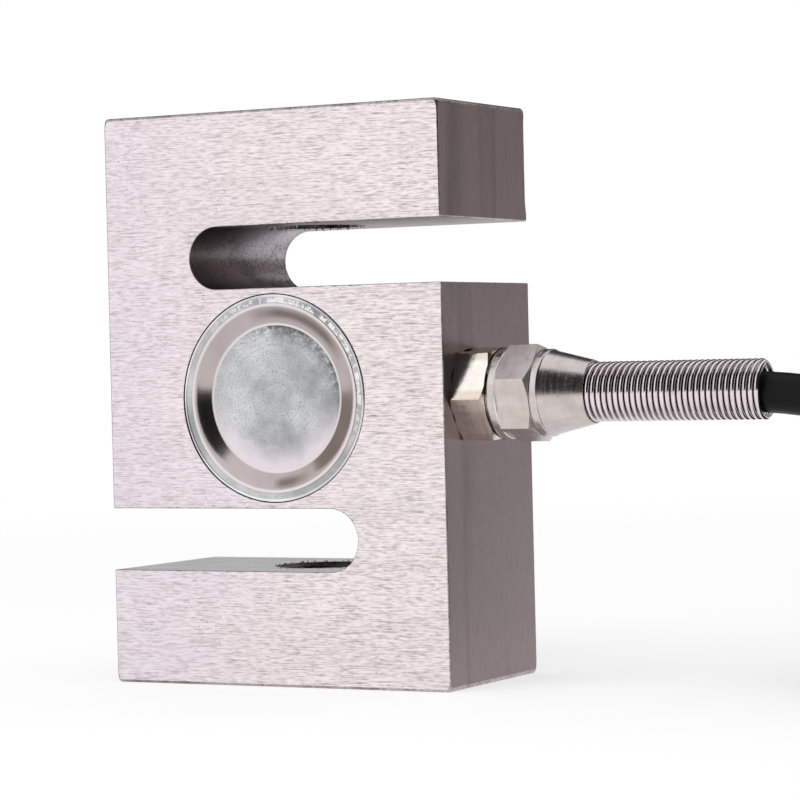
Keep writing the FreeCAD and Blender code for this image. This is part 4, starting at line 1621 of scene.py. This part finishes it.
def place_line(
    name: str,
    points: Sequence[Vector],
    radius: float,
    finish: Material,
    slot: str,
    stands_for: Sequence[str],
    smoothness: int = 12,
    roundness: int = 3,
) -> Piece:
    """Lay a smooth round line along its route.

    Args:
        name: The piece's name.
        points: The route, in millimetres.
        radius: Its radius in millimetres.
        finish: Its material.
        slot: The record's material slot.
        stands_for: Names of the solids that it replaces.
        smoothness: Steps along each point's stretch.
        roundness: Steps in a quarter of its section.

    Returns:
        The line.
    """
    curve = bpy.data.curves.new(name, "CURVE")
    curve.dimensions = "3D"
    curve.resolution_u = smoothness
    curve.bevel_depth = radius * MM
    curve.bevel_resolution = roundness
    curve.use_fill_caps = True
    spline = curve.splines.new("NURBS")
    spline.points.add(len(points) - 1)
    for knot, point in zip(spline.points, points):
        knot.co = (*(point * MM), 1.0)
    spline.order_u = 3
    spline.use_endpoint_u = True
    spline.use_smooth = True
    curve.materials.append(finish)
    return carry(stand(name, curve), slot, stands_for)


@dataclass(frozen=True)
class Core:
    """One insulated core: its colour, its side and level in the sheath, and how its free end lies."""

    name: str
    colour: Colour
    side: int
    level: int
    aside: float
    reach: float
    pad_step: float


CORES = (
    Core("red", rgb(0.5, 0.018, 0.014), 1, 1, 6.6, 20.5, 1.5),
    Core("black", rgb(0.012, 0.012, 0.013), -1, 1, -3.6, 21.5, 0.5),
    Core("green", rgb(0.02, 0.22, 0.06), 1, -1, 2.6, 22.5, -0.5),
    Core("white", rgb(0.72, 0.71, 0.68), -1, -1, 0.1, 19.5, -1.5),
)


@dataclass
class CableEnds:
    """The stripped end on the surface, and the cores inside the block."""

    end: Point = (77.62, 62.4, 2.9)
    heading: Point = (-17.6, -1.7, 0.0)
    spread: float = 0.8
    core_radius: float = 0.6
    straight: float = 4.5
    landing_share: float = 0.55
    tip_length: float = 5.0
    tip_radius: float = 0.38
    tip_overlap: float = 0.3
    strands: int = 7
    strand_sides: int = 6
    strand_steps: int = 14
    twist_length: float = 7.0
    sleeve_overlap: float = 4.5
    sleeve_sides: int = 48
    sleeve_profile: tuple[Point, ...] = (
        (0.0, 2.58, 0.0),
        (0.0, 2.85, 0.12),
        (0.8, 2.88, 0.4),
        (4.3, 2.86, 0.5),
        (5.3, 2.45, 0.5),
        (6.9, 2.2, 0.3),
        (7.0, 2.0, 0.1),
        (6.9, 1.8, 0.1),
        (4.5, 2.2, 0.2),
        (4.4, 2.55, 0.1),
        (0.0, 2.58, 0.0),
    )
    inner_start: Point = (13.8, -5.1, 38.1)
    inner_spread: float = 0.62
    inner_radius: float = 0.5
    strip: float = 2.6
    pad: tuple[float, float] = (7.0, -3.4)
    pad_pitch: float = 3.3

    def fan(self, core: Core) -> list[Vector]:
        """Lay a core's free end.

        Args:
            core: The core.

        Returns:
            Its route.
        """
        end, ahead = Vector(self.end), Vector(self.heading).normalized()
        across = Vector((0, 0, 1)).cross(ahead)
        leave = end + across * (core.side * self.spread) + Vector((0, 0, core.level * self.spread))
        landing = end + ahead * (core.reach * self.landing_share) + across * (core.aside * 0.5)
        last = end + ahead * core.reach + across * core.aside
        landing.z, last.z = self.core_radius + 0.1, self.core_radius + 0.02
        return [leave, leave + ahead * self.straight, landing, last]

    def inner(self, core: Core) -> list[Vector]:
        """Lay a core from the sheath's end to its pad.

        Args:
            core: The core.

        Returns:
            Its route.
        """
        outer = abs(core.pad_step) > 1
        side = 1 if core.pad_step > 0 else -1
        x, y, z = self.inner_start
        start = Vector((x, y + (-self.inner_spread if outer else self.inner_spread), z + side * self.inner_spread))
        finish = Vector((self.pad[0], self.pad[1], z + core.pad_step * self.pad_pitch))
        return [start, start - Vector((self.strip, 0, 0)), finish + Vector((self.strip * 0.8, 0, 0)), finish]

    def tips(self, finish: Material) -> Piece:
        """Lay the twisted strands of the four bare tips.

        Args:
            finish: The strands' material.

        Returns:
            The tips.
        """
        shape = bmesh.new()
        thin = self.tip_radius / 3
        angles = even_angles(self.strand_sides)
        section = [Vector((thin * math.cos(angle), thin * math.sin(angle), 0)) for angle in angles]
        for core in CORES:
            route = self.fan(core)
            axis = axis_frame(route[-1], route[-1] - route[-2])
            for strand in range(self.strands):
                off = 0.0 if strand == 0 else 2 * thin
                loops = []
                for step in range(self.strand_steps + 1):
                    along = self.tip_length * step / self.strand_steps
                    turn = 2 * math.pi * (strand / (self.strands - 1) + along / self.twist_length)
                    middle = Vector((off * math.cos(turn), off * math.sin(turn), along - self.tip_overlap))
                    loops.append([shape.verts.new(axis @ (middle + place)) for place in section])
                skin(shape, loops)
                shape.faces.new(loops[0])
                shape.faces.new(loops[-1])
        return place_mesh(mesh_of(shape), "core_strands", [finish], "tinned_copper", ["tail_core_tips"])

    def sleeve(self, finish: Material) -> Piece:
        """Build the shrunk sleeve over the jacket's end.

        Args:
            finish: The sleeve's material.

        Returns:
            The sleeve.
        """
        ahead = Vector(self.heading).normalized()
        axis = axis_frame(Vector(self.end) - ahead * self.sleeve_overlap, ahead)
        shape = turned(rings(rounded(self.sleeve_profile)[:-1]), even_angles(self.sleeve_sides), axis, closed=True)
        return place_mesh(mesh_of(shape), "shrunk_sleeve", [finish], "sleeve_plastic", ["end_sleeve"], crease=50.0)

    def build(self) -> list[Piece]:
        """Build the stripped end and the inner cores.

        Returns:
            The pieces that lie on the cable's free end.
        """
        pieces = [self.sleeve(Moulded("sleeve_skin", grey(0.012), grey(0.022), 0.42, 0.008).material())]
        for core in CORES:
            name, slot = core.name, f"core_{core.name}"
            rubbed = rgb(*(min(1.0, part * 1.25 + 0.01) for part in core.colour[:3]))
            finish = Moulded(f"{name}_insulation", core.colour, rubbed, 0.38, 0.004).material()
            free = self.fan(core)
            pieces.append(place_line(f"{name}_core_end", free, self.core_radius, finish, slot, [f"tail_core_{name}"]))
            place_line(f"{name}_core_inside", self.inner(core), self.inner_radius, finish, slot, [slot])
        pieces.append(self.tips(TinnedStrands("tinned_strands").material()))
        return pieces


@dataclass
class Tie:
    """The cable tie round the coil: ribbed band, head and the cut end over it."""

    centre: tuple[float, float] = (103.22, 26.6)
    turn: float = -28.0
    ring_inner: float = 18.2
    ring_outer: float = 39.0
    top: float = 20.8
    corner: float = 2.4
    corner_steps: int = 5
    step: float = 0.45
    thickness: float = 1.1
    width: float = 3.6
    edge: float = 0.25
    outer_edge: float = 0.3
    border: float = 0.9
    rib: float = 0.09
    head: Point = (3.4, 5.2, 5.2)
    head_level: float = 7.0
    head_round: float = 0.6
    overlap: float = 0.3
    stub: Point = (1.0, 3.2, 1.4)
    stub_round: float = 0.15
    stub_rise: float = 0.6

    def outline(self) -> list[Vector]:
        """Draw the band's inner outline.

        Returns:
            Its points in (radius, height) in short steps.
        """
        low, high = (self.ring_inner, self.thickness), (self.ring_outer, self.top)
        corners = [Vector(corner) for corner in (low, (high[0], low[1]), high, (low[0], high[1]))]
        points = []
        for index, corner in enumerate(corners):
            before = (corners[index - 1] - corner).normalized() * self.corner
            after = (corners[(index + 1) % len(corners)] - corner).normalized() * self.corner
            points += bend(corner, before, after, self.corner_steps)
        return in_steps(points, self.step)

    def section(self, ribbed: bool) -> list[tuple[float, float]]:
        """Draw the band's section.

        Args:
            ribbed: Whether it lies between two ribs.

        Returns:
            Its points as (aside, depth).
        """
        half, thick, edge, outer = self.width / 2, self.thickness, self.edge, self.outer_edge
        border, raised = half - self.border, thick - (self.rib if ribbed else 0.0)
        right = [(border, raised), (border, thick), (half - outer, thick), (half, thick - outer), (half, edge)]
        right.append((half - edge, 0.0))
        return [(-aside, depth) for aside, depth in reversed(right)] + right

    @staticmethod
    def add_box(shape: bmesh.types.BMesh, place: Matrix, size: Point, rounding: float, segments: int) -> None:
        """Add a box with rounded edges.

        Args:
            shape: The shape that takes the box.
            place: The frame of its middle.
            size: Its size.
            rounding: How much of each edge is rounded.
            segments: Faces in each rounding.
        """
        verts = bmesh.ops.create_cube(shape, size=1.0, matrix=place @ Matrix.Diagonal((*size, 1)))["verts"]
        edges = list(dict.fromkeys(edge for vert in verts for edge in vert.link_edges))
        bmesh.ops.bevel(shape, geom=edges, offset=rounding, segments=segments, affect="EDGES")

    def build(self, finish: Material) -> Piece:
        """Build the band, its head and its cut end.

        Args:
            finish: The tie's material.

        Returns:
            The tie.
        """
        axis = Matrix.Translation((*self.centre, 0)) @ Matrix.Rotation(math.radians(self.turn), 4, "Z")
        shape = bmesh.new()
        points = self.outline()
        loops = []
        for index, (point, out) in enumerate(zip(points, outward(points))):
            loop = []
            for aside, depth in self.section(index % 2 == 1):
                spot = point + out * depth
                loop.append(shape.verts.new(axis @ Vector((spot.x, aside, max(spot.y, 0.0)))))
            loops.append(loop)
        skin(shape, loops, closed=True)
        deep, _, high = self.head
        middle = Vector((self.ring_outer + self.thickness - self.overlap + deep / 2, 0, self.head_level + high / 2))
        self.add_box(shape, axis @ Matrix.Translation(middle), self.head, self.head_round, 3)
        over = middle + Vector((-self.overlap, 0, high / 2 + self.stub_rise))
        self.add_box(shape, axis @ Matrix.Translation(over), self.stub, self.stub_round, 2)
        return place_mesh(mesh_of(shape), "bundle_tie", [finish], "tie_plastic", ["coil_tie"], crease=40.0)


# Inner pieces that keep their solids


def dress_solids(jacket: Material) -> None:
    """Give the solids that stay their finishes.

    Args:
        jacket: The cable jacket's material.
    """
    lacquer = Moulded("resistor_lacquer", rgb(0.1, 0.24, 0.42), rgb(0.16, 0.32, 0.5), 0.3, 0.01, 0.4)
    washer = Plating("washer_plating", rgb(0.7, 0.62, 0.48), rgb(0.5, 0.42, 0.3), 0.25)
    gauges = [f"{side}_{place}_gauge" for side in ("front", "rear") for place in ("upper", "lower")]
    for finish, names in (
        (GaugeFilm("gauge_foil").material(), gauges),
        (Laminate("glass_laminate").material(), ["terminal_board"]),
        (lacquer.material(), ["upper_trim_resistor", "lower_trim_resistor"]),
        (Moulded("black_rubber", grey(0.02), grey(0.035), 0.62, 0.02).material(), ["gland_ring", "gland_seal"]),
        (washer.material(), ["thrust_washer"]),
        (jacket, ["cable_in_gland"]),
    ):
        for name in names:
            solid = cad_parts[name]
            if not solid.material_slots:
                solid.data.materials.append(finish)
            for place in solid.material_slots:
                place.material = finish
            log.info("%s keeps its solid, with the finish %s", name, finish.name)


# Studio


@dataclass(frozen=True)
class Lamp:
    """A soft rectangular lamp: its direction from the object, distance and size in metres, and power in watts."""

    name: str
    heading: Point
    distance: float
    size: tuple[float, float]
    power: float


@dataclass(frozen=True)
class Card:
    """A studio card that only reflections see: its direction from the object, distance, size and tone."""

    name: str
    heading: Point
    distance: float
    size: tuple[float, float]
    tone: Colour


LAMPS = (
    Lamp("front_softbox", (-0.50, -0.78, 0.36), 0.75, (0.42, 0.5), 1.0),
    Lamp("top_softbox", (0.05, -0.5, 0.87), 0.7, (0.4, 0.4), 0.6),
)
CARDS = (
    Card("front_softbox_face", (-0.49, -0.754, 0.438), 1.0, (1.0, 0.89), grey(1.12)),
    Card("front_flag", (0.2, -0.9, 0.5), 0.36, (0.2, 0.52), grey(0.012)),
    Card("right_flag", (0.97, -0.26, 0.42), 0.5, (1.25, 0.75), grey(0.02)),
    Card("back_flag", (0.5, 0.85, 0.05), 0.9, (1.1, 0.9), grey(0.28, 0.08)),
    Card("left_flag", (-0.95, -0.25, 0.15), 1.0, (0.7, 0.6), grey(0.42, 0.1)),
    Card("rear_left_flag", (-0.45, 0.75, 0.64), 1.0, (1.5, 0.8), grey(0.04)),
    Card("high_flag", (-0.6, 0.1, 0.85), 1.0, (0.7, 0.6), grey(0.6, 0.05)),
)


@dataclass
class Studio:
    """Floor, surroundings, lamps, cards and camera, in metres."""

    target: Point = (0.005, -0.005, 0.038)
    camera_place: Point = (0.2096, -0.3680, 0.0435)
    yaw: float = 28.21
    pitch: float = -0.84
    roll: float = -1.38
    lens: float = 140.97
    sensor: float = 36.0
    sight: tuple[float, float] = (0.01, 50.0)
    floor_half: float = 4.0
    floor_tone: Colour = grey(0.62)
    floor_glow: float = 0.6
    floor_fades: tuple[float, float] = (0.12, 0.55)
    world_light: float = 0.5

    @staticmethod
    def rays_seen(graph: Nodes) -> Socket:
        """Tell the rays that show a surface from those that only light one.

        Args:
            graph: The tree that asks.

        Returns:
            One for camera, glossy and transmission rays, and nought for the others.
        """
        path = graph.node("ShaderNodeLightPath").outputs
        kinds = ("Is Camera Ray", "Is Glossy Ray", "Is Transmission Ray")
        return reduce(partial(graph.maths, "MAXIMUM"), [path[kind] for kind in kinds])

    def world(self) -> None:
        """Surround the object with white where it is seen, and softer as a light."""
        world = bpy.data.worlds.new("studio_surround")
        world.use_nodes = True
        nodes = Nodes(world.node_tree)
        strength = nodes.span(self.rays_seen(nodes), 0.0, 1.0, self.world_light)
        white = nodes.node("ShaderNodeBackground", {"Color": grey(1.0), "Strength": strength})
        nodes.node("ShaderNodeOutputWorld", {"Surface": white.outputs[0]})
        bpy.context.scene.world = world

    @staticmethod
    def sheet(name: str, corners: Sequence[Sequence[float]], material: Material) -> Piece:
        """Lay a flat sheet.

        Args:
            name: Its name.
            corners: Its four corners.
            material: Its finish.

        Returns:
            The sheet.
        """
        mesh = bpy.data.meshes.new(name)
        mesh.from_pydata(corners, [], [(0, 1, 2, 3)])
        mesh.materials.append(material)
        return stand(name, mesh)

    def floor(self) -> None:
        """Lay a pale floor that keeps the object's shadow and runs out into white."""
        graph = Graph("pale_floor")
        sockets = {0: graph.radius_from(graph.here), 1: self.floor_fades[0], 2: self.floor_fades[1]}
        away = graph.node("ShaderNodeMapRange", sockets, interpolation_type="SMOOTHSTEP")
        cloth = graph.node("ShaderNodeBsdfDiffuse", {"Color": self.floor_tone})
        glow = graph.node("ShaderNodeEmission", {"Strength": graph.times(self.rays_seen(graph), self.floor_glow)})
        near = graph.node("ShaderNodeAddShader", {0: cloth.outputs[0], 1: glow.outputs[0]})
        white = graph.node("ShaderNodeEmission")
        mix = graph.node("ShaderNodeMixShader", {0: away.outputs[0], 1: near.outputs[0], 2: white.outputs[0]})
        half = self.floor_half
        corners = [(-half, -half, 0), (half, -half, 0), (half, half, 0), (-half, half, 0)]
        floor = self.sheet("floor", corners, graph.show(mix))

    def facing(self, heading: Point, distance: float, front: str) -> Matrix:
        """Stand a frame off from the object so that it looks at it.

        Args:
            heading: Its direction from the object.
            distance: Its distance.
            front: The axis that looks at the object.

        Returns:
            The frame.
        """
        out = Vector(heading).normalized()
        turn = (-out).to_track_quat(front, "Y").to_matrix().to_4x4()
        return Matrix.Translation(Vector(self.target) + out * distance) @ turn

    def hang(self, lamp: Lamp) -> None:
        """Hang a lamp that looks at the object and isn't mirrored in it.

        Args:
            lamp: The lamp.
        """
        light = bpy.data.lights.new(lamp.name, "AREA")
        light.shape = "RECTANGLE"
        light.size, light.size_y = lamp.size
        light.energy = lamp.power
        hung = stand(lamp.name, light)
        hung.matrix_world = self.facing(lamp.heading, lamp.distance, "-Z")
        hung.visible_glossy = False

    def set_card(self, card: Card) -> None:
        """Stand a card where only reflections see it.

        Args:
            card: The card.
        """
        half_x, half_y = card.size[0] / 2, card.size[1] / 2
        place = self.facing(card.heading, card.distance, "Z")
        corners = [(-half_x, -half_y, 0), (half_x, -half_y, 0), (half_x, half_y, 0), (-half_x, half_y, 0)]
        graph = Graph(card.name)
        material = graph.show(graph.node("ShaderNodeEmission", {"Color": card.tone}))
        sheet = self.sheet(card.name, [place @ Vector(corner) for corner in corners], material)
        for flag in ("visible_camera", "visible_diffuse", "visible_shadow", "visible_transmission"):
            setattr(sheet, flag, False)

    def camera(self) -> None:
        """Stand the camera where the photograph was taken."""
        yaw, pitch, roll = (math.radians(angle) for angle in (self.yaw, self.pitch, self.roll))
        look = Vector((-math.sin(yaw) * math.cos(pitch), math.cos(yaw) * math.cos(pitch), math.sin(pitch)))
        right = look.cross(Vector((0, 0, 1))).normalized()
        up = right.cross(look)
        side = right * math.cos(roll) + up * math.sin(roll)
        top = -right * math.sin(roll) + up * math.cos(roll)
        turn = Matrix((side, top, -look)).transposed().to_4x4()
        data = bpy.data.cameras.new("camera")
        data.sensor_width = self.sensor
        data.lens = self.lens
        data.clip_start, data.clip_end = self.sight
        camera = stand("camera", data)
        camera.matrix_world = Matrix.Translation(self.camera_place) @ turn
        bpy.context.scene.camera = camera

    def build(self) -> None:
        """Set the whole studio up."""
        bpy.context.scene.view_settings.view_transform = "Standard"
        self.world()
        self.floor()
        self.camera()
        for lamp in LAMPS:
            self.hang(lamp)
        for card in CARDS:
            self.set_card(card)


def main() -> None:
    """Build the studio and every piece, in the order in which the real one goes together."""
    logging.basicConfig(level=logging.INFO, format="%(message)s")
    Studio().build()
    jacket = Moulded("cable_jacket_skin", grey(0.006), grey(0.01), 0.4, 0.006, shine=0.14).material()
    lay = Cable()
    cable = lay.build(jacket)
    ends = CableEnds().build()
    tie = Tie().build(Moulded("tie_nylon", grey(0.02), grey(0.03), 0.4, 0.004).material())
    tuple(MM * part for part in lay.leave)
    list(ends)
    steels = Block().build().data.materials
    ridge, bored = WindingTree(Section.THREAD_RIDGE), steels[Skin.BORE]
    Thread("upper_thread", 61.6, 75.6).build(ridge, bored)
    Thread("lower_thread", 0.6, 14.6).build(ridge, bored)
    burrs, torn = BurrTree(), steels[Skin.EDGE]
    Burrs("upper_mouth_burrs", 60.95, True, 3).build(burrs, torn)
    Burrs("lower_mouth_burrs", 15.25, False, 8).build(burrs, torn)
    Cover("front_cup", -1, "front_cover").build()
    Cover("rear_cup", 1, "rear_cover").build()
    fitting = Fitting()
    fitting.gland()
    fitting.nut()
    Spring().build()
    dress_solids(jacket)


if __name__ == "__main__":
    main()
